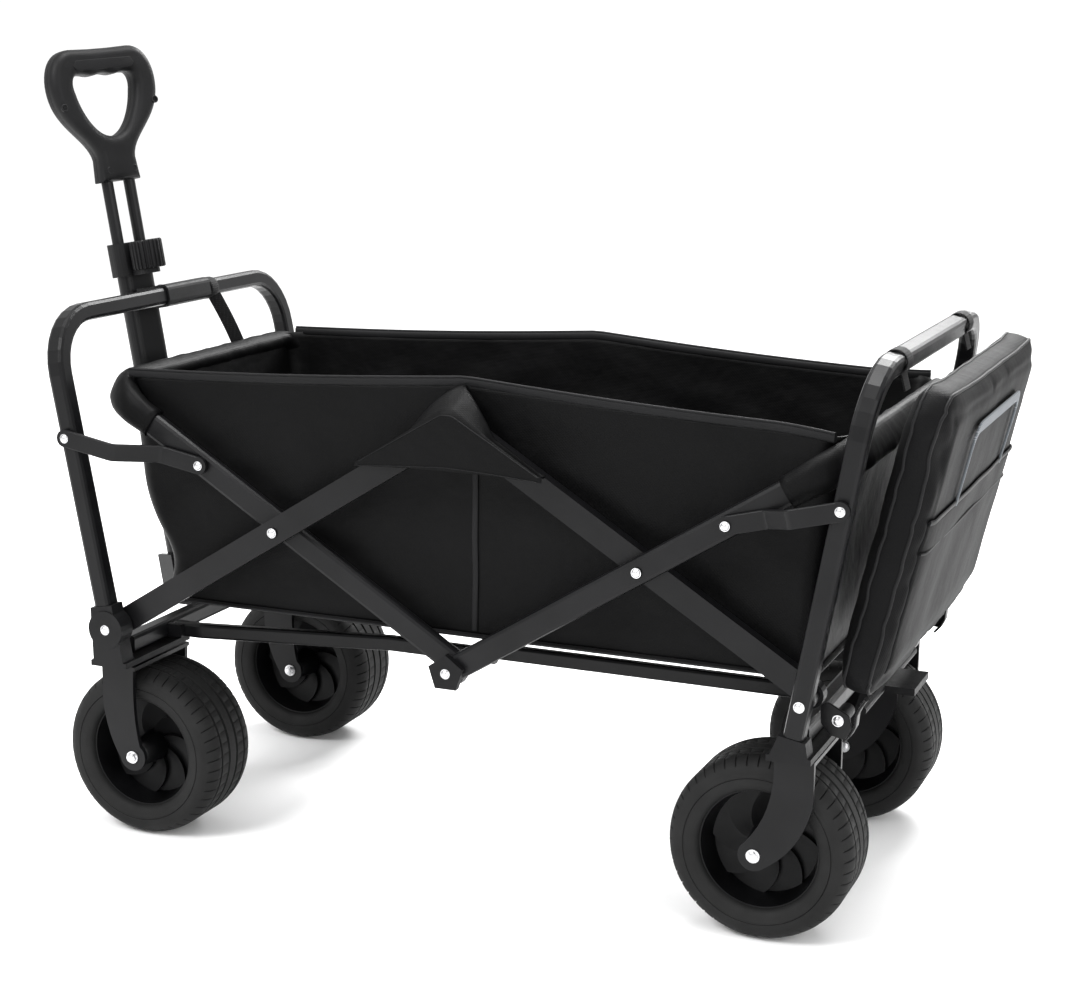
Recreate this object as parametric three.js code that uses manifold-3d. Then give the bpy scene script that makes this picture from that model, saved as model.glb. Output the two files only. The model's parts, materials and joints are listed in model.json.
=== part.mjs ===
// Folding utility wagon with a pull handle. Millimetres, +Z up.
// X runs from the handle end (-X, the front) to the cover end (+X, the rear). Left is -Y.

import * as THREE from 'three';
import { mergeVertices } from 'three/addons/utils/BufferGeometryUtils.js';
import Module from 'manifold-3d';

const wasm = await Module();
wasm.setup();

// ---------- driving sizes ----------

const clearance = 0.3;

const wheel = { radius: 90, width: 88, rim: 60, bolt: 5, trackHalf: 168, dish: 34, sidewall: 75 };
const fork = {
  tip: 15, blade: 19, bend: 55, thick: 5, gap: 4, crown: 4, plateWide: 42, plateThick: 6, bearing: 3,
  kingpin: 7,
};

const scissor = { reach: 226.4, angle: 32, top: 467, frontTail: 219.3, rearTail: 193.4 };
const arm = { deep: 25, thick: 13, corner: 4, pin: 4, bend: 42 };
const layer = { inner: 192, pitch: 18 };
const hoop = { tube: 19, corner: 4, bend: 58, top: 548 };
const frontLean = 10.76;
const rearLean = 9.87;
const link = { rise: 198, wide: 18, thick: 4, bend: 8, joggleFrom: 0.42, joggleTo: 0.66 };
const frontCorner = { x: -395, z: 474 };
const rearCorner = { x: 385, z: 468 };

const footAxis = { front: -376, rear: 348 };
const axleAxis = { front: -362, rear: 313 };
const deck = { top: 197, crossTube: 19, hingeSet: 2 };
const footDisc = 20;
const spacerRadius = 9;
const socketWide = 26;
const footFlare = 5;

const floorBar = { wide: 12, tall: 16, rearPlane: 70, frontPlane: 87, splay: 128, lug: 6, tube: 9, nose: 5 };

const handle = {
  foot: { x: -425, z: 222 }, lean: 9.93, twist: -25, wide: 42, thick: 22,
  tubeLength: 350, collarLength: 37, collarWall: 4, rod: 6.5, rodGap: 28, rodStart: 110, neckAt: 455,
  pin: 5,
};
const grip = { wide: 132, tall: 146, thick: 28, bar: 28, neckWide: 50 };
const knob = { radius: 18, pin: 4, ear: 11, earThick: 5 };
const clip = { from: -24, to: 62, seat: 23.5, jaw: 20, rise: 7, wall: 2.5 };

const bag = { side: 177, wall: 2.5, floor: 252, floorThick: 8, front: -368, rear: 356 };
const sleeve = { wall: 2.2, half: 150 };
const pad = { thick: 46, half: 222, bottom: 250, top: 546, corner: 26, setOff: 14, lean: 12.6 };
const carryStrap = { from: -97, to: 120, low: 428, high: 494, band: 14, legs: 8, thick: 2.5 };
const brake = { rod: 5, setOut: 14, long: 34, half: 32, over: 3, under: 4 };
const yoke = { half: 14, cheek: 6, tall: 36, base: 6, pivot: 24 };
const bracket = { half: 21, nose: 16, over: 4, under: 8 };

// ---------- materials ----------

const paint = (name, color, roughness, metalness) =>
  new THREE.MeshStandardMaterial({ name, color, roughness, metalness });
const frameSteel = () => paint('frame_steel', 0x26272a, 0.42, 0.55);
const moulding = () => paint('moulded_plastic', 0x1d1e20, 0.6, 0);
const rubber = () => paint('tyre_rubber', 0x2b2b2c, 0.85, 0);
const hubPlastic = () => paint('hub_plastic', 0x222326, 0.5, 0);
const brightSteel = () => paint('bright_steel', 0xb9bbbe, 0.3, 0.9);
const fabric = () => paint('bag_fabric', 0x101114, 0.92, 0);
const webbing = () => paint('grey_webbing', 0x6f7276, 0.9, 0);

// ---------- shape helpers ----------

const radians = THREE.MathUtils.degToRad;
const point = (x, y, z) => new THREE.Vector3(x, y, z);
const alongZ = point(0, 0, 1);

function toSolid(geometry) {
  const plain = geometry.clone();
  plain.deleteAttribute('normal');
  plain.deleteAttribute('uv');
  const merged = mergeVertices(plain, 1e-4);
  return new wasm.Manifold(new wasm.Mesh({
    numProp: 3,
    vertProperties: new Float32Array(merged.attributes.position.array),
    triVerts: new Uint32Array(merged.index.array),
  }));
}

function fromSolid(solid) {
  const mesh = solid.getMesh();
  const geometry = new THREE.BufferGeometry();
  geometry.setAttribute('position', new THREE.BufferAttribute(mesh.vertProperties, 3));
  geometry.setIndex(new THREE.BufferAttribute(mesh.triVerts, 1));
  geometry.computeVertexNormals();
  return geometry;
}

const join = (...pieces) => fromSolid(pieces.map(toSolid).reduce((a, b) => a.add(b)));
const cut = (body, ...tools) => fromSolid(tools.map(toSolid).reduce((a, b) => a.subtract(b), toSolid(body)));

function box(x0, x1, y0, y1, z0, z1) {
  const geometry = new THREE.BoxGeometry(Math.abs(x1 - x0), Math.abs(y1 - y0), Math.abs(z1 - z0));
  return geometry.translate((x0 + x1) / 2, (y0 + y1) / 2, (z0 + z1) / 2);
}

function rodY(radius, x, z, y0, y1, sides = 12) {
  return new THREE.CylinderGeometry(radius, radius, Math.abs(y1 - y0), sides).translate(x, (y0 + y1) / 2, z);
}

function rodZ(radius, x, y, z0, z1, sides = 16) {
  const geometry = new THREE.CylinderGeometry(radius, radius, z1 - z0, sides).rotateX(Math.PI / 2);
  return geometry.translate(x, y, (z0 + z1) / 2);
}

// A rectangle with round corners, centred on the origin.
function roundedRect(wide, tall, radius) {
  const shape = new THREE.Shape();
  const [x, y] = [wide / 2 - radius, tall / 2 - radius];
  shape.absarc(x, -y, radius, -Math.PI / 2, 0);
  shape.absarc(x, y, radius, 0, Math.PI / 2);
  shape.absarc(-x, y, radius, Math.PI / 2, Math.PI);
  shape.absarc(-x, -y, radius, Math.PI, Math.PI * 1.5);
  return shape;
}

// An outline drawn in x and z, as a plate from y0 to y1.
function plateY(shape, y0, y1, curveSegments = 4) {
  const depth = Math.abs(y1 - y0);
  const geometry = new THREE.ExtrudeGeometry(shape, { depth, bevelEnabled: false, curveSegments });
  return geometry.rotateX(Math.PI / 2).translate(0, Math.max(y0, y1), 0);
}

// An outline drawn in y and z, as a plate from x0 to x1.
function plateX(shape, x0, x1, curveSegments = 4) {
  const depth = x1 - x0;
  const geometry = new THREE.ExtrudeGeometry(shape, { depth, bevelEnabled: false, curveSegments });
  return geometry.rotateX(Math.PI / 2).rotateZ(Math.PI / 2).translate(x0, 0, 0);
}

// The centre line of a bar bent in one plane, with stations at its ends and round each bend.
class BentBar extends THREE.Curve {
  constructor(corners, bendRadius, across, bendSteps = 8) {
    super();
    this.across = across;
    this.stations = [{ at: corners[0], heading: corners[1].clone().sub(corners[0]).normalize() }];
    for (let i = 1; i < corners.length - 1; i += 1) {
      const arriving = corners[i].clone().sub(corners[i - 1]).normalize();
      const leaving = corners[i + 1].clone().sub(corners[i]).normalize();
      const turn = arriving.angleTo(leaving);
      const axis = arriving.clone().cross(leaving).normalize();
      const start = corners[i].clone().addScaledVector(arriving, -bendRadius * Math.tan(turn / 2));
      const centre = start.clone().addScaledVector(axis.clone().cross(arriving), bendRadius);
      for (let k = 0; k <= bendSteps; k += 1) {
        const angle = (turn * k) / bendSteps;
        const at = start.clone().sub(centre).applyAxisAngle(axis, angle).add(centre);
        this.stations.push({ at, heading: arriving.clone().applyAxisAngle(axis, angle) });
      }
    }
    this.stations.push({ at: corners.at(-1), heading: this.stations.at(-1).heading.clone() });
  }

  getPointAt(u) {
    return this.stations[Math.round(u * (this.stations.length - 1))].at.clone();
  }

  computeFrenetFrames() {
    const tangents = this.stations.map((station) => station.heading.clone());
    const normals = tangents.map(() => this.across.clone());
    const binormals = tangents.map((tangent) => tangent.clone().cross(this.across));
    return { tangents, normals, binormals };
  }
}

// Sweeps a section along a bent bar. The section's x lies along `across`.
function sweep(section, corners, bendRadius, across, curveSegments = 1) {
  const extrudePath = new BentBar(corners, bendRadius, across);
  const steps = extrudePath.stations.length - 1;
  return new THREE.ExtrudeGeometry(section, { steps, extrudePath, curveSegments });
}

// ---------- linkage points, in the plane of x and z ----------

const slope = radians(scissor.angle);
const polar = (from, distance, angle) => ({
  x: from.x + distance * Math.cos(angle), z: from.z + distance * Math.sin(angle),
});
const topPivot = { x: 0, z: scissor.top };
const lowPivot = { x: 0, z: scissor.top - 2 * scissor.reach * Math.sin(slope) };
const frontCross = polar(topPivot, scissor.reach, Math.PI + slope);
const rearCross = polar(topPivot, scissor.reach, -slope);
const frontFoot = polar(frontCross, scissor.frontTail, Math.PI + slope);
const rearFoot = polar(rearCross, scissor.rearTail, -slope);
const distance = (a, b) => Math.hypot(a.x - b.x, a.z - b.z);
const between = (a, b, share) => ({ x: a.x + (b.x - a.x) * share, z: a.z + (b.z - a.z) * share });
const frontLinkEnd = between(frontCross, frontCorner, 0.453);
const rearLinkEnd = between(rearCross, rearCorner, 0.445);

const onHoop = (foot, lean, z) => point(foot.x + Math.tan(radians(lean)) * (z - foot.z), 0, z);
const frontLinkRoot = onHoop(frontFoot, -frontLean, frontFoot.z + link.rise);
const rearLinkRoot = onHoop(rearFoot, rearLean, rearFoot.z + link.rise - 14);

const plane = {
  inner: layer.inner,
  outer: layer.inner + layer.pitch,
  upright: layer.inner + 2 * layer.pitch,
};
const halfArm = arm.thick / 2;
const halfTube = hoop.tube / 2;
const uprightIn = plane.upright - halfTube;
const uprightOut = plane.upright + halfTube;
const plateTop = deck.top;
const crownTop = plateTop - fork.plateThick - fork.bearing;
const crownBase = crownTop - fork.crown;
const axleHeight = crownBase - fork.gap - wheel.radius;
const halfCross = deck.crossTube / 2;
const barHeight = plateTop + halfCross + clearance;
const hingeReach = halfCross + floorBar.tall / 2 + deck.hingeSet;

const model = new THREE.Group();

function add(name, geometry, material, parent = model) {
  const mesh = new THREE.Mesh(geometry, material);
  mesh.name = name;
  parent.add(mesh);
  return mesh;
}

const sides = [['left', -1], ['right', 1]];

// ---------- end frames ----------

function hoopTube(foot, lean, socketAt, linkRoot, pinned) {
  const section = roundedRect(hoop.tube, hoop.tube, hoop.corner);
  const bottom = foot.z + socketAt * Math.cos(radians(lean));
  const low = onHoop(foot, lean, bottom);
  const high = onHoop(foot, lean, hoop.top);
  const corners = [
    point(low.x, -plane.upright, low.z), point(high.x, -plane.upright, high.z),
    point(high.x, plane.upright, high.z), point(low.x, plane.upright, low.z),
  ];
  const across = point(Math.cos(radians(lean)), 0, -Math.sin(radians(lean)));
  const holes = [];
  for (const [, side] of sides) {
    for (const pin of pinned.concat(linkRoot)) {
      holes.push(rodY(arm.pin + clearance, pin.x, pin.z, side * (uprightIn - 1), side * (uprightOut + 1)));
    }
  }
  return cut(sweep(section, corners, hoop.bend, across), ...holes);
}

// The moulded foot at a lower corner: wheel plate, upright block, and a disc where it carries a pivot.
function footBlock(side, foot, lean, socketAt, axisX, withDisc) {
  const up = onHoop(foot, lean, foot.z + socketAt * Math.cos(radians(lean)) - clearance);
  const across = point(Math.cos(radians(lean)), 0, -Math.sin(radians(lean))).multiplyScalar(socketWide / 2);
  const base = socketWide / 2 + footFlare;
  const outline = new THREE.Shape([
    new THREE.Vector2(axisX - base, plateTop - fork.plateThick),
    new THREE.Vector2(axisX + base, plateTop - fork.plateThick),
    new THREE.Vector2(axisX + base, plateTop),
    new THREE.Vector2(up.x + across.x, up.z + across.z),
    new THREE.Vector2(up.x - across.x, up.z - across.z),
    new THREE.Vector2(axisX - base, plateTop),
  ]);
  const web = plateY(outline, side * (uprightIn + clearance), side * (uprightOut + 1));
  const forkHalf = wheel.width / 2 + fork.gap + fork.thick;
  const [x0, x1] = [axisX - fork.plateWide / 2, axisX + fork.plateWide / 2];
  const inner = wheel.trackHalf - forkHalf;
  const plate = box(x0, x1, side * inner, side * (uprightOut + 1), plateTop - fork.plateThick, plateTop);
  const parts = [web, plate];
  if (withDisc) parts.push(rodY(footDisc, foot.x, foot.z, side * uprightIn, side * (uprightOut + 2), 24));
  let block = join(...parts);
  if (withDisc) {
    const [near, far] = [side * (uprightIn - 1), side * (uprightOut + 3)];
    block = cut(block, rodY(arm.pin + clearance, foot.x, foot.z, near, far));
  }
  const kingpin = rodZ(fork.kingpin + clearance, axisX, side * wheel.trackHalf, crownTop, plateTop + 1);
  return cut(block, kingpin);
}

// The tube between the two feet, with a lug on each side for the floor bars.
function crossbar(axisX, inward, lugPlane) {
  const end = plane.outer - halfArm - clearance;
  const section = roundedRect(deck.crossTube, deck.crossTube, hoop.corner);
  const tube = sweep(section, [point(axisX, -end, barHeight), point(axisX, end, barHeight)], 1, alongZ);
  const hinge = axisX + inward * hingeReach;
  const lugs = sides.flatMap(([, side]) => {
    const outside = side * (lugPlane + floorBar.wide / 2 + clearance);
    const far = outside + side * floorBar.lug;
    const near = side * (lugPlane - floorBar.wide / 2);
    return [
      box(axisX, hinge + inward * 7, outside, far, barHeight - 7, barHeight + 7),
      rodY(arm.pin, hinge, barHeight, near, far - side),
    ];
  });
  return join(tube, ...lugs);
}

const frontSocket = 25;
const rearSocket = -31;

function addEndFrames() {
  const front = hoopTube(frontFoot, -frontLean, frontSocket, frontLinkRoot, []);
  const rear = hoopTube(rearFoot, rearLean, rearSocket, rearLinkRoot, [rearFoot]);
  add('front_hoop', front, frameSteel());
  add('rear_hoop', rear, frameSteel());
  for (const [word, side] of sides) {
    const frontBlock = footBlock(side, frontFoot, -frontLean, frontSocket, footAxis.front, true);
    const rearBlock = footBlock(side, rearFoot, rearLean, rearSocket, footAxis.rear, false);
    add(`front_foot_${word}`, frontBlock, moulding());
    add(`rear_foot_${word}`, rearBlock, moulding());
  }
  const frontBar = crossbar(footAxis.front, 1, floorBar.splay);
  const seat = box(handle.foot.x - bracket.nose, footAxis.front, -bracket.half, bracket.half,
    barHeight - bracket.under, barHeight + bracket.over);
  const socket = rodZ(handle.pin + clearance, handle.foot.x, 0, barHeight - 20, barHeight + 20);
  add('front_crossbar', cut(join(frontBar, seat), socket), frameSteel());
  add('rear_crossbar', crossbar(footAxis.rear, -1, floorBar.rearPlane), frameSteel());
}

// ---------- folding sides ----------

// A straight flat-oval bar from a to b with round ends, drilled at each of the given points.
function straightBar(a, b, planeY, holes, pins) {
  const angle = Math.atan2(b.z - a.z, b.x - a.x);
  const across = arm.deep / 2;
  const shape = new THREE.Shape();
  shape.absarc(0, 0, across, Math.PI / 2, Math.PI * 1.5);
  shape.absarc(distance(a, b), 0, across, -Math.PI / 2, Math.PI / 2);
  const [side, y] = [Math.sign(planeY), Math.abs(planeY)];
  const geometry = plateY(shape, -halfArm, halfArm, 5).rotateY(-angle).translate(a.x, side * y, a.z);
  const stud = (pin) => rodY(pin.radius ?? arm.pin, pin.at.x, pin.at.z, side * pin.from, side * pin.to);
  const studs = pins.map(stud);
  const body = studs.length ? join(geometry, ...studs) : geometry;
  const tools = holes.map((hole) => rodY(arm.pin + clearance, hole.x, hole.z,
    side * (y - halfArm - 1), side * (y + halfArm + 1)));
  return tools.length ? cut(body, ...tools) : body;
}

// A bent tube: two side runs and the end bar that carries the bag's rim.
function uArm(low, corner, planeY, holes, pins) {
  const heading = Math.atan2(corner.z - low.z, corner.x - low.x);
  const start = polar(low, -arm.deep / 2, heading);
  const across = point(-Math.sin(heading), 0, Math.cos(heading));
  const corners = [
    point(start.x, -planeY, start.z), point(corner.x, -planeY, corner.z),
    point(corner.x, planeY, corner.z), point(start.x, planeY, start.z),
  ];
  const section = roundedRect(arm.deep, arm.thick, arm.corner);
  let body = sweep(section, corners, arm.bend, across);
  for (const [, side] of sides) {
    const studs = pins.map((pin) => rodY(arm.pin, pin.at.x, pin.at.z, side * pin.from, side * pin.to));
    const tools = holes.map((hole) => rodY(arm.pin + clearance, hole.x, hole.z,
      side * (planeY - halfArm - 1), side * (planeY + halfArm + 1)));
    body = studs.length ? join(body, ...studs) : body;
    body = tools.length ? cut(body, ...tools) : body;
  }
  return body;
}

// A strap link, joggled inward from outside the hoop to the face of a U arm.
function hoopLink(side, root, end, endPlane) {
  const outside = uprightOut + 2 + link.thick / 2;
  const inside = endPlane + halfArm + 1.5 + link.thick / 2;
  const at = (share, y) => {
    const spot = between(root, end, share);
    return point(spot.x, side * y, spot.z);
  };
  const corners = [at(0, outside), at(link.joggleFrom, outside), at(link.joggleTo, inside), at(1, inside)];
  const heading = Math.atan2(end.z - root.z, end.x - root.x);
  const across = point(-Math.sin(heading), 0, Math.cos(heading));
  const strap = sweep(roundedRect(link.wide, link.thick, 1), corners, link.bend, across);
  const half = link.thick / 2;
  const eye = rodY(link.wide / 2, root.x, root.z, side * (outside - half), side * (outside + half), 16);
  const tip = rodY(link.wide / 2, end.x, end.z, side * (inside - half), side * (inside + half), 16);
  const stud = rodY(arm.pin, root.x, root.z, side * uprightIn, side * outside);
  return join(strap, eye, tip, stud);
}

function addFoldingSides() {
  const innerFace = plane.inner - halfArm;
  for (const [word, side] of sides) {
    const rising = straightBar(frontFoot, topPivot, side * plane.outer, [], [
      { at: frontFoot, from: plane.outer, to: uprightOut + 2 },
      { at: frontCross, from: innerFace, to: plane.outer },
      { at: topPivot, from: innerFace, to: plane.outer },
    ]);
    const falling = straightBar(topPivot, rearFoot, side * plane.inner, [topPivot, rearCross], [
      { at: rearFoot, from: plane.inner, to: uprightOut },
      { at: rearFoot, from: plane.inner, to: uprightIn - 1, radius: spacerRadius },
    ]);
    add(`front_rising_arm_${word}`, rising, frameSteel());
    add(`rear_falling_arm_${word}`, falling, frameSteel());
    add(`front_link_${word}`, hoopLink(side, frontLinkRoot, frontLinkEnd, plane.inner), frameSteel());
    add(`rear_link_${word}`, hoopLink(side, rearLinkRoot, rearLinkEnd, plane.outer), frameSteel());
    addLowerJoint(word, side);
  }
  const frontU = uArm(lowPivot, frontCorner, plane.inner, [lowPivot, frontCross], []);
  const rearU = uArm(lowPivot, rearCorner, plane.outer, [], [
    { at: lowPivot, from: innerFace, to: uprightIn },
    { at: rearCross, from: innerFace, to: plane.outer },
  ]);
  add('front_u_arm', frontU, frameSteel());
  add('rear_u_arm', rearU, frameSteel());
}

// The five-sided cap over the lower pivot.
function addLowerJoint(word, side) {
  const capRadius = 19;
  const corners = [];
  for (let k = 0; k < 5; k += 1) {
    const angle = Math.PI / 2 + (k * 2 * Math.PI) / 5;
    corners.push(new THREE.Vector2(Math.cos(angle), Math.sin(angle)).multiplyScalar(capRadius));
  }
  const face = plane.outer + halfArm + clearance;
  const cap = plateY(new THREE.Shape(corners), side * face, side * (face + 7));
  cap.translate(lowPivot.x, 0, lowPivot.z);
  const [near, far] = [side * (face - 1), side * (uprightIn + clearance)];
  const hole = rodY(arm.pin + clearance, lowPivot.x, lowPivot.z, near, far);
  add(`lower_joint_cap_${word}`, cut(cap, hole), moulding());
}

// ---------- floor linkage ----------

const hubX = (footAxis.front + footAxis.rear) / 2;

function floorBarPiece(corners, hingeX) {
  const bar = sweep(roundedRect(floorBar.tall, floorBar.wide, 3), corners, 40, alongZ);
  const { y } = corners[0];
  return cut(bar, rodY(arm.pin + clearance, hingeX, barHeight, y - floorBar.wide, y + floorBar.wide));
}

function addFloorBars() {
  const frontHinge = footAxis.front + hingeReach;
  const rearHinge = footAxis.rear - hingeReach;
  const nose = floorBar.tall / 2;
  for (const [word, side] of sides) {
    const front = [
      point(frontHinge - floorBar.nose, side * floorBar.splay, barHeight),
      point(frontHinge + 3 * nose, side * floorBar.splay, barHeight),
      point(hubX - 14 * nose, side * floorBar.frontPlane, barHeight),
      point(hubX + nose, side * floorBar.frontPlane, barHeight),
    ];
    const rear = [
      point(rearHinge + floorBar.nose, side * floorBar.rearPlane, barHeight),
      point(hubX - nose, side * floorBar.rearPlane, barHeight),
    ];
    add(`front_floor_bar_${word}`, floorBarPiece(front, frontHinge), frameSteel());
    add(`rear_floor_bar_${word}`, floorBarPiece(rear, rearHinge), frameSteel());
  }
  const end = floorBar.rearPlane - floorBar.wide / 2 - clearance;
  add('floor_hub_tube', rodY(floorBar.tube, hubX, barHeight, -end, end, 24), moulding());
}

// ---------- wheels ----------

// A body of revolution about the wheel's axle. The profile lists [radius, place along the axle].
function spun(profile, sidesRound = 28) {
  return new THREE.LatheGeometry(profile.map(([r, y]) => new THREE.Vector2(r, y)), sidesRound);
}

function tyreGeometry() {
  const half = wheel.width / 2;
  const shoulder = 8;
  const bead = wheel.rim + 1;
  const profile = [
    [bead, -half + 12], [wheel.sidewall, -half], [wheel.radius - shoulder, -half + 1],
    [wheel.radius - 2, -half + shoulder], [wheel.radius, -half + 2 * shoulder],
    [wheel.radius, half - 2 * shoulder], [wheel.radius - 2, half - shoulder],
    [wheel.radius - shoulder, half - 1], [wheel.sidewall, half], [bead, half - 12],
    [bead, -half + 12],
  ];
  return spun(profile);
}

function hubGeometry() {
  const half = wheel.width / 2;
  const rimEdge = half - 11;
  const wall = 4;
  const boss = 15;
  const web = half - wheel.dish;
  const bore = wheel.bolt + clearance;
  const profile = [
    [bore, -half], [boss, -half], [boss, -web], [wheel.rim - wall, -rimEdge], [wheel.rim, -rimEdge],
    [wheel.rim, rimEdge], [wheel.rim - wall, rimEdge], [boss, web], [boss, half], [bore, half], [bore, -half],
  ];
  return spun(profile);
}

// Crown, kingpin and two swept legs.
// One leg drops straight from the crown and then curves to the axle, where its end is round.
function forkLeg(axisX, axleX, y0, y1) {
  const way = Math.sign(axisX - axleX);
  const middle = Math.abs(axisX - axleX) + 1;
  const [near, far] = [middle - fork.blade, middle + fork.blade];
  const at = (along, up) => [axleX + way * along, axleHeight + up];
  const leg = new THREE.Shape();
  leg.moveTo(...at(near, crownTop - axleHeight));
  leg.lineTo(...at(far, crownTop - axleHeight));
  leg.lineTo(...at(far, fork.bend));
  leg.quadraticCurveTo(...at(far * 0.8, fork.tip / 2), ...at(fork.tip / 3, -fork.tip * 0.94));
  leg.lineTo(...at(-fork.tip * 0.6, fork.tip * 0.8));
  leg.quadraticCurveTo(...at(near + 3, fork.tip * 3), ...at(near, crownBase - axleHeight));
  leg.closePath();
  return join(plateY(leg, y0, y1, 8), rodY(fork.tip, axleX, axleHeight, y0, y1, 28));
}

function forkGeometry(axisX, axleX) {
  const half = wheel.width / 2 + fork.gap;
  const [x0, x1] = [axisX - fork.plateWide / 2 + 1, axisX + fork.plateWide / 2 - 1];
  const hole = (y) => rodY(wheel.bolt + clearance, axleX, axleHeight, y - 2 * fork.thick, y + 2 * fork.thick);
  const crown = box(x0, x1, -half - fork.thick, half + fork.thick, crownBase, crownTop);
  const bearing = rodZ(17, axisX, 0, crownTop - 1, plateTop - fork.plateThick - clearance);
  const kingpin = rodZ(fork.kingpin, axisX, 0, crownTop - 1, plateTop - clearance);
  const outside = half + fork.thick;
  const legs = [forkLeg(axisX, axleX, half, outside), forkLeg(axisX, axleX, -outside, -half)];
  return cut(join(crown, bearing, kingpin, ...legs), hole(half), hole(-half));
}

function addWheels() {
  const half = wheel.width / 2 + fork.gap + fork.thick;
  const ends = [['front', footAxis.front, axleAxis.front], ['rear', footAxis.rear, axleAxis.rear]];
  for (const [end, axisX, axleX] of ends) {
    for (const [word, side] of sides) {
      const station = new THREE.Group();
      station.position.set(0, side * wheel.trackHalf, 0);
      model.add(station);
      add(`${end}_fork_${word}`, forkGeometry(axisX, axleX), frameSteel(), station);
      const spin = new THREE.Group();
      spin.position.set(axleX, 0, axleHeight);
      station.add(spin);
      const tyre = cut(tyreGeometry(), spun([[0, -half], [wheel.rim + clearance, -half],
        [wheel.rim + clearance, half], [0, half]]));
      add(`${end}_tyre_${word}`, tyre, rubber(), spin);
      add(`${end}_hub_${word}`, hubGeometry(), hubPlastic(), spin);
      const bolt = spun([[0, -half - 5], [8, -half - 5], [8, -half - clearance],
        [wheel.bolt, -half - clearance],
        [wheel.bolt, half + clearance], [8, half + clearance], [8, half + 5], [0, half + 5]], 12);
      add(`${end}_axle_${word}`, bolt, brightSteel(), spin);
    }
  }
}

// ---------- brake ----------

function addBrake() {
  const pedalX = footAxis.rear + fork.plateWide / 2 + brake.setOut;
  const reach = wheel.trackHalf - wheel.width / 2 - brake.setOut;
  const bar = rodY(brake.rod, pedalX, barHeight, -reach, reach);
  const pedal = box(pedalX, pedalX + brake.long, -brake.half, brake.half, barHeight - brake.under,
    barHeight + brake.over);
  add('brake_pedal', join(bar, pedal), moulding());
}

// ---------- handle ----------

// Everything on the handle is built upright, its face to +X, and then leaned and turned as one.
const handleGroup = new THREE.Group();
handleGroup.position.set(handle.foot.x, 0, handle.foot.z);
handleGroup.rotation.set(0, -radians(handle.lean), 0);
const handleTurn = new THREE.Group();
handleTurn.rotation.set(0, 0, radians(handle.twist));
handleGroup.add(handleTurn);

// A bar along the handle's own axis, from one height to another.
function upright(section, z0, z1, curveSegments = 3) {
  const depth = z1 - z0;
  const settings = { depth, bevelEnabled: false, curveSegments };
  return new THREE.ExtrudeGeometry(section, settings).translate(0, 0, z0);
}

function addHandleTube() {
  const half = handle.wide / 2;
  const section = roundedRect(handle.thick, handle.wide, handle.thick / 2 - 0.5);
  const outer = upright(section, 12, handle.tubeLength);
  const bores = [-1, 1].map((s) => rodZ(handle.rod + clearance, 0, (s * handle.rodGap) / 2, 40, 900));
  const pivot = rodY(handle.pin + clearance, 0, yoke.pivot, -half - 1, half + 1);
  add('handle_tube', cut(outer, ...bores, pivot), frameSteel(), handleTurn);
  const cheek = half + clearance;
  const yokePiece = join(
    box(-yoke.half, yoke.half, cheek, cheek + yoke.cheek, 0, yoke.tall),
    box(-yoke.half, yoke.half, -cheek - yoke.cheek, -cheek, 0, yoke.tall),
    box(-yoke.half, yoke.half, -cheek - yoke.cheek, cheek + yoke.cheek, 0, yoke.base),
    rodY(handle.pin, 0, yoke.pivot, -cheek - yoke.cheek, cheek + yoke.cheek),
  );
  add('handle_yoke', yokePiece, frameSteel(), handleTurn);
  const wall = handle.collarWall;
  const [z0, z1] = [handle.tubeLength + clearance, handle.tubeLength + handle.collarLength];
  const sleeveOuter = upright(roundedRect(handle.thick + 2 * wall, handle.wide + 2 * wall, 12), z0, z1);
  const face = handle.thick / 2 + wall;
  const knobX = face + clearance + knob.radius;
  const ear = join(box(face - 2, knobX, -knob.ear, knob.ear, z0, z0 + knob.earThick),
    rodZ(knob.ear, knobX, 0, z0, z0 + knob.earThick), rodZ(knob.pin, knobX, 0, z0, z1 - 2));
  add('lock_collar', cut(join(sleeveOuter, ear), ...bores), moulding(), handleTurn);
  const drum = rodZ(knob.radius, knobX, 0, z0 + knob.earThick + clearance, z1, 24);
  add('lock_knob', cut(drum, rodZ(knob.pin + clearance, knobX, 0, z0, z1 + 1)), moulding(), handleTurn);
  for (const [word, side] of sides) {
    const y = (side * handle.rodGap) / 2;
    const rod = rodZ(handle.rod, 0, y, handle.rodStart, handle.neckAt + 30);
    add(`handle_rod_${word}`, rod, frameSteel(), handleTurn);
  }
}

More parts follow.
